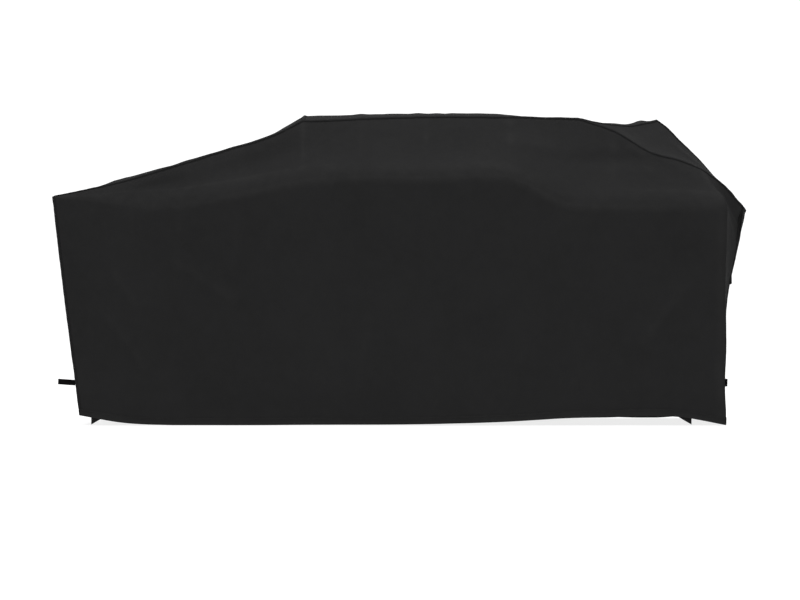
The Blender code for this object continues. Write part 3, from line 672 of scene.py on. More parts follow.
def grids(step, foot):
    """A grid of points for each panel. Panels that meet share their edge's points."""
    everywhere = stations(LEFT_EDGE, BULGE, step)
    walls = [np.array([profile(side, p, step, foot) for p in everywhere]) for side in (FRONT, REAR)]
    shares = np.linspace(0, 1, round(STRIP_RUN / step) + 1)
    strip = np.array([[over(p, s) for s in shares] for p in everywhere])
    left_ridge, right_ridge = everywhere.index(LEFT_RIDGE), everywhere.index(RIGHT_RIDGE)
    made = {
        "front_panel": walls[0],
        "rear_panel": walls[1],
        "left_slope_panel": strip[: left_ridge + 1],
        "top_panel": strip[left_ridge : right_ridge + 1],
        "right_slope_panel": strip[right_ridge:],
    }
    on_skirt = round(SHELF_HEIGHT / step)
    for name, at, rows in (("left_end_panel", 0, on_skirt), ("right_end_panel", -1, None)):
        a, b = (wall[at][:rows, None] for wall in walls)
        top_a, top_b = strip[at][0], strip[at][-1]
        belly = strip[at] - (top_a + (top_b - top_a) * shares[:, None])
        height = (a[..., 2:] + b[..., 2:]) / (top_a[2] + top_b[2])
        grid = a + (b - a) * shares[None, :, None] + belly[None] * height**2
        grid[-1] = strip[at]
        made[name] = grid.transpose(1, 0, 2)
    return made


def faces_of(columns, rows, start=0):
    """The squares of a grid of points listed column by column."""
    a = start + np.arange(columns - 1)[:, None] * rows + np.arange(rows - 1)[None]
    return np.stack([a, a + rows, a + rows + 1, a + 1], -1).reshape(-1, 4)


# The cloth settles over the grill
def sewn_shell():
    """The whole cover as one coarse mesh, with the points along its seams marked as pinned."""
    body = bmesh.new()
    pinned = body.verts.layers.float.new("pinned")
    for name, grid in grids(SIM_STEP, HEM_HEIGHT / 2).items():
        verts = [[body.verts.new(p) for p in column] for column in grid]
        for a, b in zip(verts, verts[1:]):
            for k in range(len(a) - 1):
                body.faces.new((a[k], b[k], b[k + 1], a[k + 1]))
        edges = []
        if name in ("front_panel", "rear_panel", "right_end_panel"):
            edges = [column[-1] for column in verts]
        elif name != "left_end_panel":
            edges = [*verts[0], *verts[-1]]
        for v in edges:
            v[pinned] = 1
    bmesh.ops.remove_doubles(body, verts=body.verts, dist=SIM_STEP / 4)
    bmesh.ops.recalc_face_normals(body, faces=body.faces)
    body.verts.ensure_lookup_table()
    body.normal_update()
    rest = np.array([v.co for v in body.verts])
    out = np.array([v.normal for v in body.verts])
    if (out * (rest - CENTRE)).sum() < 0:
        bmesh.ops.reverse_faces(body, faces=body.faces)
        out = -out
    pins = [v.index for v in body.verts if v[pinned] > 0.5]
    data = bpy.data.meshes.new("settling")
    body.to_mesh(data)
    body.free()
    return data, rest, out, pins


def simulate(cloth):
    """Sets up the cloth on an object and runs it."""
    step = cloth.modifiers.new("cloth", "CLOTH")
    settings = step.settings
    settings.quality = 5
    settings.mass = 0.2
    settings.tension_stiffness = 40
    settings.compression_stiffness = 25
    settings.shear_stiffness = 12
    settings.bending_stiffness = 0.6
    settings.air_damping = 4
    settings.vertex_group_mass = "pins"
    settings.shrink_min = -0.005
    settings.shrink_max = -0.005
    step.collision_settings.use_collision = True
    step.collision_settings.distance_min = 0.003
    step.collision_settings.use_self_collision = False
    step.point_cache.frame_start = 1
    step.point_cache.frame_end = SIM_FRAMES
    for number in range(1, SIM_FRAMES + 1):
        SCENE.frame_set(number)


def settle():
    """Simulates the shell as one sewn cloth over a form, and returns where its points move."""
    data, rest, out, pins = sewn_shell()
    form_data = data.copy()
    held = rest - out * STAND
    held -= out * (FORM_DRAWN_IN * ramp(FORM_WAIST - rest[:, 2], 0, FORM_NARROWING))[:, None]
    form_data.vertices.foreach_set("co", held.astype(np.float32).ravel())
    cloth = bpy.data.objects.new("settling", data)
    form = bpy.data.objects.new("form", form_data)
    for thing in (cloth, form):
        SCENE.collection.objects.link(thing)
    form.modifiers.new("collision", "COLLISION")
    form.collision.thickness_outer = 0.002
    form.collision.cloth_friction = 30
    cloth.vertex_groups.new(name="pins").add(pins, 1.0, "REPLACE")
    simulate(cloth)
    settled = cloth.evaluated_get(bpy.context.evaluated_depsgraph_get()).data
    after = np.zeros(rest.size)
    settled.vertices.foreach_get("co", after)
    move = after.reshape(-1, 3) - rest
    SCENE.frame_set(1)
    for thing in (cloth, form):
        shape = thing.data
        bpy.data.objects.remove(thing)
        bpy.data.meshes.remove(shape)
    size = np.linalg.norm(move, axis=1, keepdims=True)
    return rest, move * MOST * np.tanh(size / MOST) / np.maximum(size, 1e-9)


def settled_moves(rest, move):
    """A function that gives the cloth's move at any points, smooth over its surface."""
    tree = KDTree(len(rest))
    for k, p in enumerate(rest):
        tree.insert(p, k)
    tree.balance()

    def at(points):
        flat = points.reshape(-1, 3)
        found = np.zeros_like(flat)
        for k, p in enumerate(flat):
            _, numbers, gaps = zip(*tree.find_n(p, NEIGHBOURS))
            weights = np.exp(-((np.array(gaps) / SPREAD) ** 2))
            found[k] = weights @ move[list(numbers)] / weights.sum()
        return found.reshape(points.shape)

    return at


# Materials
class Paint:
    """A procedural material built up from a few kinds of node."""

    def __init__(self, name, roughness, **fixed):
        self.material = bpy.data.materials.new(name)
        self.material.use_nodes = True
        self.tree = self.material.node_tree
        self.shader = self.tree.nodes["Principled BSDF"]
        self.shader.inputs["Roughness"].default_value = roughness
        for socket, value in fixed.items():
            self.shader.inputs[socket.replace("_", " ")].default_value = value
        self.place = self.node("TexCoord").outputs["Object"]

    def node(self, kind):
        return self.tree.nodes.new("ShaderNode" + kind)

    def put(self, value, socket):
        """Sets a socket to a number or a colour, or joins another node's output to it."""
        if isinstance(value, (int, float)):
            socket.default_value = value
        elif isinstance(value, tuple):
            socket.default_value = (*value, 1)
        else:
            self.tree.links.new(value, socket)

    def math(self, operation, *values, clamp=False):
        node = self.node("Math")
        node.operation = operation
        node.use_clamp = clamp
        for value, socket in zip(values, node.inputs):
            self.put(value, socket)
        return node.outputs[0]

    def noise(self, size, detail=2.0, rough=0.5, stretch=(1, 1, 1)):
        """Noise whose marks are about a size across, from 0 to 1."""
        spread = self.node("Mapping")
        spread.inputs["Scale"].default_value = [1 / (size * s) for s in stretch]
        self.put(self.place, spread.inputs["Vector"])
        node = self.node("TexNoise")
        node.inputs["Scale"].default_value = 1
        node.inputs["Detail"].default_value = detail
        node.inputs["Roughness"].default_value = rough
        self.put(spread.outputs[0], node.inputs["Vector"])
        return node.outputs["Fac"]

    def axis(self, which):
        split = self.node("SeparateXYZ")
        self.put(self.place, split.inputs[0])
        return split.outputs[which]

    def attribute(self, name):
        node = self.node("Attribute")
        node.attribute_name = name
        return node.outputs["Fac"]

    def between(self, value, low, high, to_low=0.0, to_high=1.0):
        node = self.node("MapRange")
        for number, socket in zip((value, low, high, to_low, to_high), node.inputs):
            self.put(number, socket)
        return node.outputs[0]

    def mix(self, share, dark, light):
        """A colour a share of the way between two."""
        node = self.node("Mix")
        node.data_type = "RGBA"
        self.put(share, node.inputs["Factor"])
        self.put(dark, node.inputs[6])
        self.put(light, node.inputs[7])
        return node.outputs[2]

    def bump(self, height, distance, before=None):
        node = self.node("Bump")
        node.inputs["Distance"].default_value = distance
        node.inputs["Strength"].default_value = 1.0
        self.put(height, node.inputs["Height"])
        if before:
            self.put(before, node.inputs["Normal"])
        return node.outputs[0]

    def finish(self, **outputs):
        for socket, value in outputs.items():
            self.put(value, self.shader.inputs[socket.replace("_", " ")])
        return self.material


def weave(paint, axes, pitch):
    """The height of a plain weave, from 0 to 1: yarns pass over and under each other."""
    waves = [
        paint.math("SINE", paint.math("MULTIPLY", paint.axis(which), 2 * math.pi / pitch))
        for which in axes
    ]
    return paint.math("MULTIPLY_ADD", paint.math("MULTIPLY", *waves), 0.5, 0.5)


def oxford(name, axes):
    """Coated Oxford cloth: near black, with a fine weave, faint mottling and paler wear on its folds."""
    paint = Paint(name, 0.72, Specular_IOR_Level=0.014)
    woven = weave(paint, axes, 0.0016)
    patches = paint.noise(0.22, 3, 0.55)
    clouds = paint.noise(0.035, 4, 0.6)
    fibres = paint.noise(0.0012, 2, 0.7)
    base = paint.mix(paint.between(patches, 0.3, 0.7), CLOTH_DARK, CLOTH_PLAIN)
    base = paint.mix(paint.between(clouds, 0.35, 0.75, 0, 0.4), base, CLOTH_CLOUD)
    base = paint.mix(paint.math("MULTIPLY", paint.between(fibres, 0.5, 0.8), 0.5), base, CLOTH_SPECK)
    rubbed = paint.between(clouds, 0.25, 0.7, 0.45, 1.0)
    rubbed = paint.math("MULTIPLY", paint.attribute("wear"), rubbed, clamp=True)
    base = paint.mix(paint.math("MULTIPLY", rubbed, 0.8), base, CLOTH_WORN)
    base = paint.mix(paint.math("MULTIPLY", woven, 0.22), base, CLOTH_YARN)
    rough = paint.math("MULTIPLY_ADD", woven, -0.06, paint.between(clouds, 0.3, 0.7, 0.82, 0.94))
    normal = paint.bump(paint.noise(0.028, 5, 0.62), 0.0022)
    normal = paint.bump(woven, 0.00022, normal)
    normal = paint.bump(fibres, 0.00008, normal)
    return paint.finish(Base_Color=base, Roughness=rough, Normal=normal)


def ribbed(name, axes, dark, light, pitch, rough):
    """Webbing and binding tape: a coarse weave with a slight shine on the yarns."""
    paint = Paint(name, rough, Specular_IOR_Level=0.015)
    woven = weave(paint, axes, pitch)
    clouds = paint.noise(0.02, 4, 0.6)
    base = paint.mix(paint.between(clouds, 0.3, 0.7), dark, light)
    base = paint.mix(paint.math("MULTIPLY", woven, 0.35), base, tuple(1.8 * c for c in light))
    rubbed = paint.math("MULTIPLY", paint.attribute("wear"), 0.7, clamp=True)
    base = paint.mix(rubbed, base, tuple(2.6 * c for c in light))
    rough = paint.math("MULTIPLY_ADD", clouds, 0.25, rough - 0.12)
    normal = paint.bump(woven, 0.0004, paint.bump(clouds, 0.0008))
    return paint.finish(Base_Color=base, Roughness=rough, Normal=normal)


def plastic(name):
    """Moulded acetal with a fine spark texture and scuffed edges."""
    paint = Paint(name, 0.42, Specular_IOR_Level=0.12)
    spark = paint.noise(0.0006, 3, 0.7)
    scuffs = paint.noise(0.006, 5, 0.7, (1, 0.3, 1))
    base = paint.mix(paint.between(scuffs, 0.55, 0.8, 0, 0.5), ACETAL, ACETAL_SCUFF)
    rough = paint.between(scuffs, 0.3, 0.8, 0.34, 0.6)
    return paint.finish(Base_Color=base, Roughness=rough, Normal=paint.bump(spark, 0.00012))


def looped(name):
    """Hook-and-loop tape: a matt nap of tiny loops."""
    paint = Paint(name, 0.95, Specular_IOR_Level=0.08, Sheen_Weight=0.03, Sheen_Roughness=0.6)
    nap = paint.noise(0.0011, 4, 0.75)
    clouds = paint.noise(0.012, 3, 0.6)
    base = paint.mix(paint.between(nap, 0.3, 0.75), NAP_DARK, NAP_PALE)
    base = paint.mix(paint.between(clouds, 0.4, 0.7, 0, 0.4), base, NAP_CLOUD)
    return paint.finish(Base_Color=base, Normal=paint.bump(nap, 0.0009))


# Pieces
def add(name, verts, faces, paint, body):
    data = bpy.data.meshes.new(name)
    data.from_pydata(np.asarray(verts, float).tolist(), [], [list(map(int, f)) for f in faces])
    data.validate()
    data.shade_smooth()
    data.materials.append(paint)
    piece = bpy.data.objects.new(name, data)
    SCENE.collection.objects.link(piece)
    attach(piece, body)
    return piece


def worn(piece, values):
    """Writes how worn each point of a piece is, from 0 to 1."""
    layer = piece.data.attributes.new("wear", "FLOAT", "POINT")
    layer.data.foreach_set("value", np.clip(values, 0, 1).astype(np.float32).ravel())


def face(piece, way):
    """Turns a piece's faces over if its first one faces away from a direction."""
    if piece.data.polygons[0].normal.dot(Vector(way)) < 0:
        piece.data.flip_normals()


def thicken(piece, thickness, offset=-1):
    """Gives a sheet its thickness, with the step applied."""
    step = piece.modifiers.new("thickness", "SOLIDIFY")
    step.thickness = thickness
    step.offset = offset
    step.use_even_offset = True
    graph = bpy.context.evaluated_depsgraph_get()
    made = bpy.data.meshes.new_from_object(piece.evaluated_get(graph), depsgraph=graph)
    old = piece.data
    piece.modifiers.clear()
    piece.data = made
    name = old.name
    bpy.data.meshes.remove(old)
    made.name = name


def tube(rings, closed=False):
    """Points and faces of a tube through rings of points, with flat ends unless it closes."""
    rings = np.asarray(rings)
    count, around = rings.shape[:2]
    faces = []
    for i in range(count if closed else count - 1):
        a, b = i * around, (i + 1) % count * around
        for k in range(around):
            n = (k + 1) % around
            faces.append((a + k, a + n, b + n, b + k))
    if not closed:
        faces.append(list(range(around))[::-1])
        faces.append([(count - 1) * around + k for k in range(around)])
    return rings.reshape(-1, 3), faces


def taped(name, rings, wear, share, paint, body, closed=False):
    """A tube of folded tape or cloth, worn the same all along, by the points of its section."""
    verts, faces = tube(rings, closed)
    piece = add(name, verts, faces, paint, body)
    worn(piece, np.tile(wear, len(rings)) * share)
    return piece


def stitch_rows(name, rows, paint, body, stitch=SEAM_STITCH):
    """Topstitching: one small lozenge of thread for each stitch along rows of (points, normals)."""
    pitch, length, width = stitch
    corners = [(0, 1, 2), (0, 2, 3), (4, 2, 1), (4, 3, 2), (0, 5, 1), (0, 3, 5), (4, 1, 5), (4, 5, 3)]
    verts, faces = [], []
    for points, outs in rows:
        run = run_of(points)
        middle, out = read_off(run, np.arange(pitch / 2, run[-1], pitch), points, outs)
        if len(middle) < 2:
            continue
        along, out = unit(np.gradient(middle, axis=0)), unit(out)
        reach, side = along * length / 2, np.cross(out, along) * width / 2
        ring = (
            middle - reach - out * THREAD_END,
            middle + side + out * THREAD_SIDE,
            middle + out * THREAD_HIGH,
            middle - side + out * THREAD_SIDE,
            middle + reach - out * THREAD_END,
            middle - out * THREAD_DEEP,
        )
        start = sum(len(v) for v in verts) + np.arange(len(middle))[:, None, None] * len(ring)
        faces.append((start + np.array(corners)[None]).reshape(-1, 3))
        verts.append(np.stack(ring, 1).reshape(-1, 3))
    return add(name, np.concatenate(verts), np.concatenate(faces), paint, body)


def sewn_box(middle, along, side, out, runs, count):
    """Rows of stitches for runs across a square with these half sides."""
    t = np.linspace(0, 1, count)[:, None]
    return [
        (middle + along * (a + (c - a) * t) + side * (b + (d - b) * t), repeated(out, count))
        for (a, b), (c, d) in runs
    ]


def ribbon(name, path, side, out, width, thick, paint, body):
    """Webbing along a path: ribbed across its width, with a woven beat along its length."""
    run = run_of(path)
    count = max(2, round(run[-1] / WEB_STEP))
    middle, side, out = read_off(run, np.linspace(0, run[-1], count + 1), path, side, out)
    side, out = unit(side)[:, None], unit(out)[:, None]
    u = np.linspace(-1, 1, 4 * WEB_RIBS + 1)
    beat = np.where(np.arange(count + 1) % 2, 1.0, -1.0)[:, None]
    relief = WEB_RELIEF * np.cos(math.pi * WEB_RIBS * u)[None] * (0.45 + 0.55 * beat)
    height = (thick / 2) * np.clip(1.25 - np.abs(u) ** 8, 0.3, 1)[None] + relief
    level = middle[:, None] + side * (u * width / 2)[None, :, None]
    lift = out * height[..., None]
    edges = np.concatenate([np.abs(u) ** 6, np.abs(u[::-1]) ** 6])
    rings = np.concatenate([level + lift, (level - lift)[:, ::-1]], axis=1)
    return taped(name, rings, edges, 0.55, paint, body)


def block(node, way):
    """A box-shaped CAD node's middle, long, wide and thin directions, and its three extents.

    The thin direction is turned to face outwards.
    """
    data = NODES[node].data
    points = np.array([v.co for v in data.vertices])
    axes = []
    for one in sorted(data.polygons, key=lambda f: -f.area):
        normal = np.array(one.normal)
        if all(abs(normal @ a) < 0.2 for a in axes):
            axes.append(normal)
    spans = [points @ a for a in axes[:3]]
    middle = sum(a * (s.max() + s.min()) / 2 for a, s in zip(axes, spans))
    order = sorted(range(3), key=lambda k: -np.ptp(spans[k]))
    along, side, out = (axes[k] for k in order)
    if out @ np.asarray(way, float) < 0:
        out = -out
    return middle, along, side, out, [float(np.ptp(spans[k])) for k in order]


# The cloth's own shape
def folds_at(points, folds):
    """Soft ridges along line segments."""
    total = np.zeros(points.shape[:-1])
    for start, end, half, height in folds:
        a, way = np.array(start), np.array(end) - np.array(start)
        t = np.clip(((points - a) @ way) / (way @ way), -0.3, 1.3)
        gap = np.linalg.norm(points - (a + t[..., None] * way), axis=-1)
        ends = ramp(t, -0.15, 0.35) * (1 - ramp(t, 0.65, 1.15))
        total += height * np.exp(-((gap / half) ** 2)) * ends
    return total


def still(points):
    """0 beside what is sewn to the cloth or lies on it, rising to 1 clear of it."""
    free = np.ones(points.shape[:-1])
    for node in SEWN_ON:
        low, high = (np.array(v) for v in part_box(node))
        gap = np.linalg.norm(np.maximum(np.maximum(low - points, points - high), 0), axis=-1)
        free = np.minimum(free, ramp(gap, *SEWN_HOLD))
    return free


def sag_of(name, columns, rows):
    """How far each hood hangs in between its shoulder and its seam, and each slope between its seams."""
    along = np.linspace(0, 1, columns)[:, None]
    if name in ("front_panel", "rear_panel"):
        lowest = round(SHELF_HEIGHT / STEP)
        t = np.clip((np.arange(rows)[None] - lowest) / (rows - 1 - lowest), 0, 1)
        depth = ramp(along, *HOOD_SAG_START) * (1 - HOOD_SAG_LOSS * ramp(along, *HOOD_SAG_END))
        return HOOD_SAG * depth * 4 * t * (1 - t) * (1 + 0.5 * (1 - 2 * t))
    if "end" in name:
        return np.zeros((columns, rows))
    t = np.linspace(0, 1, rows)[None]
    return SLOPE_SAG * 4 * t * (1 - t) * np.sin(math.pi * along)


def curl(grid, axis):
    """How much a grid's lines bend along one axis, as one over metres."""
    way = np.gradient(grid, axis=axis)
    gap = np.linalg.norm(way, axis=-1, keepdims=True)
    return np.gradient(unit(way), axis=axis) / np.maximum(gap, 0.002)


def cloth_shape(name, rest, moves):
    """A panel's final points and how worn they are: settled, with soft folds, sags and creases."""
    wall = name in ("front_panel", "rear_panel", "left_end_panel", "right_end_panel")
    height, out = rest[..., 2], normals(rest)
    move = moves(rest)
    move[..., 2] *= ramp(height, 0.02, 0.35)
    edges = [rest[:1], rest[-1:], rest[:, -1:]] + ([] if wall else [rest[:, :1]])
    gap = np.min([np.linalg.norm(rest - edge, axis=-1) for edge in edges], axis=0)
    uneven = folds_at(rest, FOLDS[name])
    uneven += sum(high * noise(rest, across, seed) for across, seed, high in WAVES)
    if wall:
        hang = 1 - ramp(height, 0.0, DRAPE_TOP)
        for across, seed, high, more, power in DRAPES:
            uneven += noise(rest, across, seed) * (high + more * hang**power)
    pucker = np.sin(rest @ PUCKER_RUN * 2 * math.pi / PUCKER_PITCH + 3 * noise(rest, 0.08, 8))
    total = ramp(gap, 0, EDGE_HOLD) * uneven
    total += PUCKER * pucker * np.exp(-gap / PUCKER_REACH) * ramp(gap, 0, 0.008)
    total -= sag_of(name, *rest.shape[:2])
    settled = rest + still(rest)[..., None] * (move + out * total[..., None])
    for middle, reach, way in LUMPS:
        away = np.linalg.norm((rest - middle) / reach, axis=-1)
        settled = settled + np.array(way) * np.exp(-(away[..., None] ** 2))
    bent = -((curl(settled, 0) + curl(settled, 1)) * out).sum(axis=-1)
    wear = WEAR_ON_FOLDS * ramp(bent, *BEND) + WEAR_AT_SEAMS * np.exp(-gap / SEAM_WEAR_REACH)
    wear += WEAR_AT_HEM * (1 - ramp(height, 0.0, 0.05)) * patchy(rest, 0.04, 9)
    wear += WEAR_ON_TOP * ramp(out[..., 2], 0.3, 0.95) * patchy(rest, 0.12, 10)
    return settled, wear


def window_holes(points, faces):
    """Leaves out the rear panel's faces behind the vents."""
    middles = points[faces].mean(axis=1)
    keep = np.ones(len(faces), bool)
    for side in ("left", "right"):
        low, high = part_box(f"{side}_vent_mesh")
        inside = (middles[:, 0] > low.x) & (middles[:, 0] < high.x)
        inside &= (middles[:, 2] > low.z) & (middles[:, 2] < high.z)
        keep &= ~inside
    return faces[keep]


def panels(shapes, paints):
    """The seven sewn panels, each given its cloth's thickness, the rear one with holes behind the vents.
    """
    for name, (points, wear) in shapes.items():
        verts = points.reshape(-1, 3)
        faces = faces_of(*points.shape[:2])
        if name == "rear_panel":
            faces = window_holes(verts, faces)
        piece = add(name.replace("panel", "cloth"), verts, faces, paints[name], "cover")
        worn(piece, wear)
        if sum(f.normal.dot(f.center - Vector(CENTRE)) for f in piece.data.polygons) < 0:
            piece.data.flip_normals()
        thicken(piece, PANEL_THICK)
        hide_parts(name)


# Seams, hems and stitching
def edge_lines(grid, edge, depth=6):
    """Lines of points that run in from one edge of a panel."""
    if edge == "start":
        return grid[:depth].transpose(1, 0, 2)
    if edge == "end":
        return grid[::-1][:depth].transpose(1, 0, 2)
    if edge == "bottom":
        return grid[:, :depth]
    return grid[:, ::-1][:, :depth]


def edge_outs(grid, edge):
    """The outward normals just in from one edge of a panel."""
    out = normals(grid)
    return {"start": out[2], "end": out[-3], "bottom": out[:, 2], "top": out[:, -3]}[edge]


def stretch(a_grid, a_edge, b_grid, b_edge, span, order=1):
    """Where two panels meet: the seam, the lines that run in from it, and the normals beside it."""
    a_lines, b_lines = edge_lines(a_grid, a_edge), edge_lines(b_grid, b_edge)
    count = min(len(a_lines), len(b_lines))
    rows = (a_lines[:, 0], a_lines, b_lines, edge_outs(a_grid, a_edge), edge_outs(b_grid, b_edge))
    return [row[:count][span][::order] for row in rows]


def half_tape(lines, outs, top, lift):
    """One side of a binding, from its edge to where it rises to the seam."""
    edge, middle = walk(lines, TAPE_REACH), walk(lines, TAPE_REACH / 2)
    rise_to = middle + outs * TAPE_MIDDLE * lift + top * TAPE_FOOT
    return [edge + outs * TAPE_FOOT, edge + outs * TAPE_EDGE, rise_to]


def taped_seam(name, run, paints, node):
    """A strip of binding folded over where two panels meet, with two rows of stitches a side."""
    seam, a_lines, b_lines, a_outs, b_outs = run
    top = unit(a_outs + b_outs)
    lift = (1 + 0.22 * noise(seam, 0.02, 11) + 0.15 * noise(seam, 0.007, 12))[:, None]
    a_side, b_side = half_tape(a_lines, a_outs, top, lift), half_tape(b_lines, b_outs, top, lift)
    crest, under = seam + top * TAPE_CREST * lift, seam - top * TAPE_UNDER
    rings = np.stack([*a_side, crest, b_side[2], b_side[1], b_side[0], under], 1)
    keep = [0]
    for k in range(1, len(seam)):
        if np.linalg.norm(seam[k] - seam[keep[-1]]) > 0.002:
            keep.append(k)
    piece = taped(name, rings[keep], TAPE_WEAR, 0.6, paints["binding"], "cover")
    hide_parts(node)
    rows = []
    for lines, outs in ((a_lines, a_outs), (b_lines, b_outs)):
        for reach, high in TAPE_STITCHES:
            rows.append((walk(lines, reach)[keep] + outs[keep] * high, outs[keep]))
    thread = stitch_rows(name + "_stitches", rows, paints["thread"], "cover")


def all_seams(grid, paints):
    slopes = [grid[n] for n in ("left_slope_panel", "top_panel", "right_slope_panel")]
    strip = np.concatenate([slopes[0], slopes[1][1:], slopes[2][1:]])
    above_hem, between = slice(2, None), slice(1, -1)
    for side, edge, wall_edge in (("front", "bottom", "start"), ("rear", "top", "end")):
        panel = grid[f"{side}_panel"]
        up = stretch(panel, "start", grid["left_end_panel"], wall_edge, above_hem)
        across = stretch(panel, "top", strip, edge, between)
        down = stretch(panel, "end", grid["right_end_panel"], wall_edge, above_hem, -1)
        run = [np.concatenate(parts) for parts in zip(up, across, down)]
        taped_seam(f"{side}_seam_tape", run, paints, f"{side}_seam_binding")
    ends = (
        ("left_edge_seam", "left_end_panel", "top", "left_slope_panel", "start"),
        ("left_ridge_seam", "left_slope_panel", "end", "top_panel", "start"),
        ("right_ridge_seam", "top_panel", "end", "right_slope_panel", "start"),
        ("right_bulge_seam", "right_slope_panel", "end", "right_end_panel", "top"),
    )
    for name, a, a_edge, b, b_edge in ends:
        run = stretch(grid[a], a_edge, grid[b], b_edge, between)
        taped_seam(f"{name}_tape", run, paints, f"{name}_binding")


def hems(grid, paints):
    """The turned-up hem: a band of folded cloth round the foot of each wall, with its stitching."""
    for side, wall in (("front", "front"), ("rear", "rear"), ("left", "left_end"), ("right", "right_end")):
        panel = grid[f"{wall}_panel"]
        outs = normals(panel)[:, 1]
        lines = edge_lines(panel, "bottom")
        line = {"foot": lines[:, 0], "middle": walk(lines, HEM_MIDDLE), "top": walk(lines, HEM_TOP)}
        line["bottom"] = line["foot"] + unit(line["foot"] - line["middle"]) * HEM_FOLD
        line["bottom"][:, 2] = np.maximum(line["bottom"][:, 2], 0.0)
        swell = (1 + 0.25 * noise(line["foot"], (0.05, 0.05, 0.3), 13))[:, None]
        rings = np.stack([line[at] + outs * off * swell**swells for at, off, swells, _ in HEM_SECTION], 1)
        wear = [row[3] for row in HEM_SECTION]
        piece = taped(f"{side}_hem_fold", rings, wear, 0.8, paints[f"{side}_hem"], "cover")
        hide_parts(f"{side}_hem")
        rows = [(walk(lines, height) + outs * HEM_STITCH_LIFT, outs) for height in HEM_STITCHES]
        thread = stitch_rows(f"{side}_hem_stitches", rows, paints["thread"], "cover")


# Webbing, patches and buckles
def sewn_patch(node, way, paints):
    """A square of webbing, padded a little by its folded edges and sewn with a box and a cross."""
    middle, along, side, out, (long, wide, thick) = block(node, way)
    along, side = along * long / 2, side * wide / 2
    count = PATCH_STEPS + 1
    u, v = np.meshgrid(*[np.linspace(-1, 1, count)] * 2, indexing="ij")
    edge = np.maximum(np.abs(u), np.abs(v))
    cross = np.minimum(np.abs(u - v), np.abs(u + v)) + (edge > PATCH_BOX)
    dips = np.minimum(np.abs(edge - PATCH_BOX), cross)
    height = PATCH_HIGH - PATCH_ROUND * ramp(edge, 0.90, 1.0) + PATCH_RIB * np.cos(math.pi * 11 * v)
    height -= PATCH_DIP * np.exp(-((dips / 0.05) ** 2))
    base = middle - out * (thick / 2 + PATCH_SINK)
    top = base + along * u[..., None] + side * v[..., None] + out * height[..., None]
    verts = np.concatenate([top.reshape(-1, 3), (top - out * PATCH_BODY).reshape(-1, 3)])
    faces = np.concatenate([faces_of(count, count), faces_of(count, count, count**2)[:, ::-1]])
    piece = add(node.replace("patch", "pad"), verts, faces, paints["webbing"], "cover")
    face(piece, out)
    worn(piece, np.concatenate([0.5 * ramp(edge, 0.85, 1).ravel(), np.zeros(edge.size)]))
    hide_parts(node)
    runs = [*zip(BOX, BOX[1:]), CROSS]
    middle = base + out * PATCH_STITCH_LIFT
    rows = sewn_box(middle, along * PATCH_BOX, side * PATCH_BOX, out, runs, 12)
    thread = stitch_rows(piece.name + "_stitches", rows, paints["thread"], "cover", PATCH_STITCH)


def straight_web(node, way, body, paints, name, bow, twist, sag=0.0):
    """A stretch of webbing where a band-shaped node is, with a little bow, sag and twist."""
    middle, along, side, out, (long, wide, _) = block(node, way)
    t = np.linspace(-0.5, 0.5, 61)
    arch = (1 - (2 * t) ** 2)[:, None]
    path = middle + along * (t * long)[:, None] + out * bow * arch - np.array((0, 0, 1.0)) * sag * arch
    path = path + out * 0.0004 * noise(path, 0.03, 21)[:, None]
    angle = (twist * np.sin(math.pi * t) + 0.03 * noise(path, 0.05, 22))[:, None]
    sides = side * np.cos(angle) + out * np.sin(angle)
    outs = out * np.cos(angle) - side * np.sin(angle)
    piece = ribbon(name, path, sides, outs, wide, WEB_THICK, paints["webbing"], body)
    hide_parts(node)
    return piece


def shown_node(node, paint):
    """A hard CAD node that stays in view, with its edges rounded."""
    thing = NODES[node]
    for place in thing.material_slots:
        place.material = paint
    weld = thing.modifiers.new("weld", "WELD")
    weld.merge_threshold = 0.00002
    flat = thing.modifiers.new("flat", "DECIMATE")
    flat.decimate_type = "DISSOLVE"
    flat.angle_limit = math.radians(3)
    bevel = thing.modifiers.new("rounding", "BEVEL")
    bevel.width = BUCKLE_ROUND
    bevel.segments = 2
    bevel.limit_method = "ANGLE"
    bevel.angle_limit = math.radians(35)


def straps(paints):
    """On each end: short webbing, buckle, long webbing, its free end and the patches that hold it."""
    for end, out in (("left", (-1, 0, 0)), ("right", (1, 0, 0))):
        straight_web(f"{end}_short_strap", out, "cover", paints, f"{end}_short_webbing", 0, 0.05)
        name = f"{end}_long_strap"
        long = straight_web(name, out, "cover", paints, f"{end}_long_webbing", 0.0004, 0.10, 0.0015)
        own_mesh(long)
        sewn_patch(f"{end}_front_strap_patch", out if end == "left" else (1, -1, 0), paints)
        sewn_patch(f"{end}_rear_strap_patch", out, paints)
        out = (0, -1, 0) if end == "left" else out
        tail = f"{end}_tail"
        straight_web(f"{end}_strap_tail", out, tail, paints, f"{tail}_webbing", 0.0012, 0.12)
        for part in ("buckle_socket", "buckle_plug", "buckle_lower_arm", "buckle_upper_arm"):
            shown_node(f"{end}_{part}", paints["plastic"])


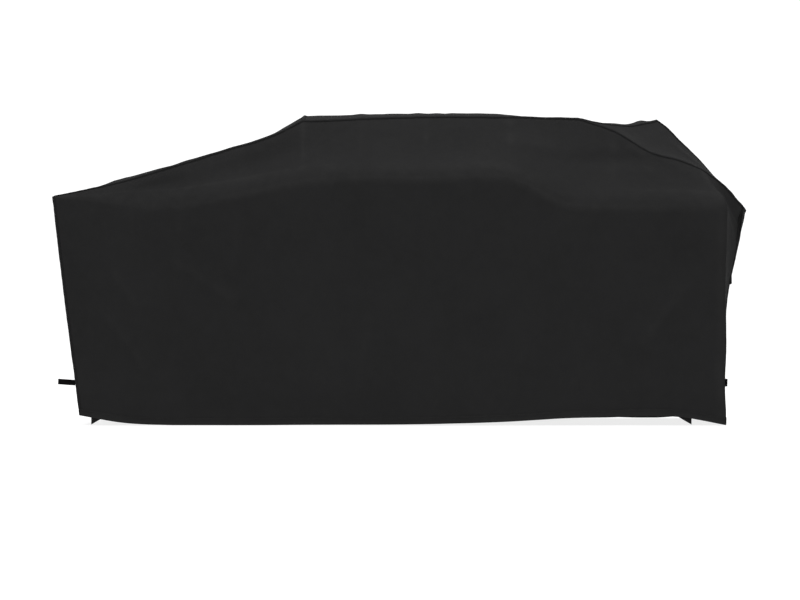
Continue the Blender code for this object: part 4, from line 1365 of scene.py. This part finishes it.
def handles(paints):
    """Grab handles: webbing down, across and up, with its corners folded over and sewn."""
    for end, out in (("left", np.array((-1, 0, 0.0))), ("right", np.array((1, 0, 0.0)))):
        node = f"{end}_handle"
        low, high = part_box(node)
        x, web = (low.x + high.x) / 2, HANDLE_WEB
        front_y, rear_y = low.y + web / 2, high.y - web / 2
        down = low.z + web / 2
        t = np.linspace(0, 1, 30)
        fall_by = high.z + (low.z - high.z) * t
        runs = []
        for y, way in ((front_y, 1), (rear_y, -1)):
            leg = np.stack([np.full_like(t, x), y + way * HANDLE_DRAW * t, fall_by], 1)
            runs.append((leg + out * HANDLE_LAP, (0, 1, 0)))
        t = np.linspace(0, 1, 50)
        dip = down - HANDLE_DIP * np.sin(math.pi * t)
        cross = np.stack([np.full_like(t, x), low.y + (high.y - low.y) * t, dip], 1)
        runs.append((cross - out * HANDLE_LAP, (0, 0, 1)))
        for number, (path, side) in enumerate(runs):
            name, count = f"{end}_handle_webbing_{number}", len(path)
            sides, outs = repeated(side, count), repeated(out, count)
            web_paint = paints["webbing"]
            ribbon(name, path, sides, outs, web * 0.98, HANDLE_THICK, web_paint, node)
        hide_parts(node)
        along, up = np.array((0, HANDLE_BOX, 0)), np.array((0, 0, HANDLE_BOX))
        rows = []
        for y in (front_y, rear_y):
            middle = np.array((x, y, down)) + out * HANDLE_STITCH_LIFT
            rows += sewn_box(middle, along, up, out, zip(BOX, BOX[1:]), 9)
        stitch_rows(f"{end}_handle_stitches", rows, paints["thread"], node, HANDLE_STITCH)
        for place in ("front", "rear"):
            sewn_patch(f"{end}_handle_{place}_patch", out, paints)


# Vents and leg straps
def netting(low, high):
    """Points and faces of a screen of crossing yarns in a box's middle plane."""
    y = (low.y + high.y) / 2
    lines = [((x, y, low.z), (x, y, high.z), NET_SHIFT) for x in np.arange(low.x, high.x, NET_PITCH)]
    lines += [((low.x, y, z), (high.x, y, z), -NET_SHIFT) for z in np.arange(low.z, high.z, NET_PITCH)]
    outward = np.array((0, 1, 0))
    turns = np.arange(6)[:, None] * math.pi / 3
    verts, faces = [], []
    for a, b, shift in lines:
        a, b = np.array(a), np.array(b)
        ring = NET_YARN * (np.cross(unit(b - a), outward) * np.cos(turns) + outward * np.sin(turns))
        spots = a + (b - a) * np.linspace(0, 1, 25)[:, None] + outward * shift
        points, squares = tube(spots[:, None] + ring)
        faces += [[k + len(verts) for k in square] for square in squares]
        verts += points.tolist()
    return verts, faces


def vents(paints, rear_grid):
    for side in ("left", "right"):
        low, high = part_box(f"{side}_vent_mesh")
        piece = add(f"{side}_vent_netting", *netting(low, high), paints["mesh"], "cover")
        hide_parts(f"{side}_vent_mesh")
        window_frame(side, low, high, rear_grid, paints)
        flap(side, paints)


def window_frame(side, low, high, rear_grid, paints):
    """Binding tape round a vent's window, with a row of stitches each side."""
    start = np.array((low.x - FRAME_OUT, low.z - FRAME_OUT))
    end = np.array((high.x + FRAME_OUT, high.z + FRAME_OUT))
    middle, half = (start + end) / 2, (end - start) / 2
    points = []
    for a, b in zip(BOX, BOX[1:5]):
        a, b = middle + half * a, middle + half * b
        steps = max(3, round(math.dist(a, b) / FRAME_STEP))
        points += [a + (b - a) * (s / steps) for s in range(steps)]
    points = np.array(points)
    flat = rear_grid.reshape(-1, 3)
    gap = np.abs(flat[:, None, ::2] - points[None]).sum(axis=-1)
    level = flat[gap.argmin(axis=0), 1]
    level = (np.roll(level, 1) + level + np.roll(level, -1)) / 3
    inward = middle - points
    inward = np.where(np.abs(inward) > half - 0.0005, np.sign(inward), 0) * FRAME_WIDE / 2

    def loop(share, lift):
        flat_loop = points + inward * share
        return np.stack([flat_loop[:, 0], level + lift, flat_loop[:, 1]], 1)

    rings = np.stack([loop(share, lift) for share, lift, _ in FRAME_SECTION], 1)
    wear = [row[2] for row in FRAME_SECTION]
    piece = taped(f"{side}_vent_binding", rings, wear, 0.7, paints["binding"], "cover", closed=True)
    rows = []
    for share in (-FRAME_STITCH_AT, FRAME_STITCH_AT):
        sewn = loop(share, FRAME_STITCH_LIFT)
        rows.append((np.concatenate([sewn, sewn[:1]]), repeated((0, 1, 0), len(sewn) + 1)))
    thread = stitch_rows(f"{side}_vent_stitches", rows, paints["thread"], "cover")


def flap(side, paints):
    """The flap over a vent: sewn along its top, bound on its other edges, standing off a little."""
    body = f"{side}_vent_flap"
    low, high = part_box(body)
    wide, tall = high.x - low.x, high.z - low.z
    across, down = np.linspace(-1, 1, FLAP_COLUMNS), np.linspace(0, 1, FLAP_ROWS)
    u, v = np.meshgrid(across, down, indexing="ij")
    spot = np.stack([u, v, np.zeros_like(u)], -1)
    stand = 0.0012 + 0.0042 * v**1.5 * (0.7 + 0.3 * np.cos(math.pi * u))
    stand += 0.0012 * v * np.sin(4.2 * u + 1) + 0.0007 * noise(spot, 0.4, 31 + len(side))
    x, y = (low.x + high.x) / 2 + u * wide / 2, (low.y + high.y) / 2 + stand
    points = np.stack([x, y, high.z - v * tall], -1)
    squares = faces_of(FLAP_COLUMNS, FLAP_ROWS)
    piece = add(f"{side}_flap_cloth", points.reshape(-1, 3), squares, paints["flap"], body)
    edge = np.minimum(1 - np.abs(u), 1 - v)
    worn(piece, 0.35 * np.exp(-edge / 0.05) + 0.2 * np.clip(noise(spot, 0.3, 33), 0, 1))
    face(piece, (0, 1, 0))
    thicken(piece, FLAP_THICK)
    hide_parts(f"{side}_vent_flap")
    rim = np.concatenate([points[0, :], points[1:-1, -1], points[-1, ::-1]])
    out = np.array((0, 1.0, 0))
    inward = unit(np.cross(out, unit(np.gradient(rim, axis=0))))
    middle = points[FLAP_COLUMNS // 2, FLAP_ROWS // 3]
    inward *= np.where((inward * (middle - rim)).sum(axis=-1) < 0, -1, 1)[:, None]
    rings = np.stack([rim + inward * reach + out * lift for reach, lift, _ in FLAP_SECTION], 1)
    wear = [row[2] for row in FLAP_SECTION]
    tape = taped(f"{side}_flap_tape", rings, wear, 0.7, paints["binding"], body)
    sewn = rings[:, 1] * (1 - FLAP_STITCH_IN) + rings[:, 2] * FLAP_STITCH_IN + out * FLAP_STITCH_LIFT
    lines = [sewn, *(points[2:-2, row] + out * FLAP_TOP_LIFT for row in FLAP_TOP_ROWS)]
    rows = [(line, repeated(out, len(line))) for line in lines]
    thread = stitch_rows(f"{side}_flap_stitches", rows, paints["thread"], body)


def leg_strap(name, x_out, inward, way, phase, paints):
    """One leg strap: a tape with a slanted tip, a slight wave and stitches round its edge."""
    low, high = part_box(name)
    across, down = np.linspace(0, 1, STRAP_COLUMNS), np.linspace(0, 1, STRAP_ROWS)
    u, v = np.meshgrid(across, down, indexing="ij")
    x, y = x_out + inward * u * LEG_STRAP_WIDTH, np.full_like(u, (low.y + high.y) / 2)
    z = high.z - v * ((high.z - low.z) - LEG_STRAP_BEVEL * u)
    points = np.stack([x, y, z], -1)
    points[..., 1] += STRAP_WAVE * v**2 * np.sin(2.6 * u + phase) + 0.0005 * noise(points, 0.012, 41)
    squares = faces_of(STRAP_COLUMNS, STRAP_ROWS)
    piece = add(f"{name}_tape", points.reshape(-1, 3), squares, paints["loop"], name)
    worn(piece, np.zeros(u.size))
    thicken(piece, STRAP_THICK, 0)
    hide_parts(name)
    edges = [points[1:-1, -2], points[1, 2:-1], points[-2, 2:-1]]
    rows = [(e + np.array(way) * STRAP_STITCH_LIFT, repeated(way, len(e))) for e in edges]
    thread = stitch_rows(f"{name}_stitches", rows, paints["thread"], name, STRAP_STITCH)


def leg_straps(paints):
    for place, y_way in (("front", 1), ("rear", -1)):
        for end, inward, phase in (("left", 1, 1), ("right", -1, 2.2)):
            name = f"{place}_{end}_leg_strap"
            low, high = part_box(name)
            x_out = low.x if end == "left" else high.x
            leg_strap(name, x_out, inward, (0, -y_way, 0), phase, paints)
            sewn_patch(f"{name}_patch", (0, y_way, 0), paints)


def all_paints():
    side_cloth = oxford("oxford_sides", (0, 2))
    top_cloth = oxford("oxford_top", (0, 1))
    end_cloth = oxford("oxford_ends", (1, 2))
    paints = {name: side_cloth for name in ("front_panel", "rear_panel", "front_hem", "rear_hem", "flap")}
    paints |= {name: top_cloth for name in ("left_slope_panel", "top_panel", "right_slope_panel")}
    paints |= {f"{end}_{part}": end_cloth for end in ("left", "right") for part in ("end_panel", "hem")}
    paints |= {name: ribbed(*values) for name, values in RIBBED.items()}
    return paints | {"plastic": plastic("buckle_acetal"), "loop": looped("hook_and_loop_tape")}


def main():
    stage()
    moves = settled_moves(*settle())
    rest_grids = grids(STEP, HEM_HEIGHT / 5)
    shapes = {name: cloth_shape(name, grid, moves) for name, grid in rest_grids.items()}
    paints = all_paints()
    panels(shapes, paints)
    final = {name: points for name, (points, _) in shapes.items()}
    all_seams(final, paints)
    hems(final, paints)
    straps(paints)
    handles(paints)
    vents(paints, final["rear_panel"])
    leg_straps(paints)


main()
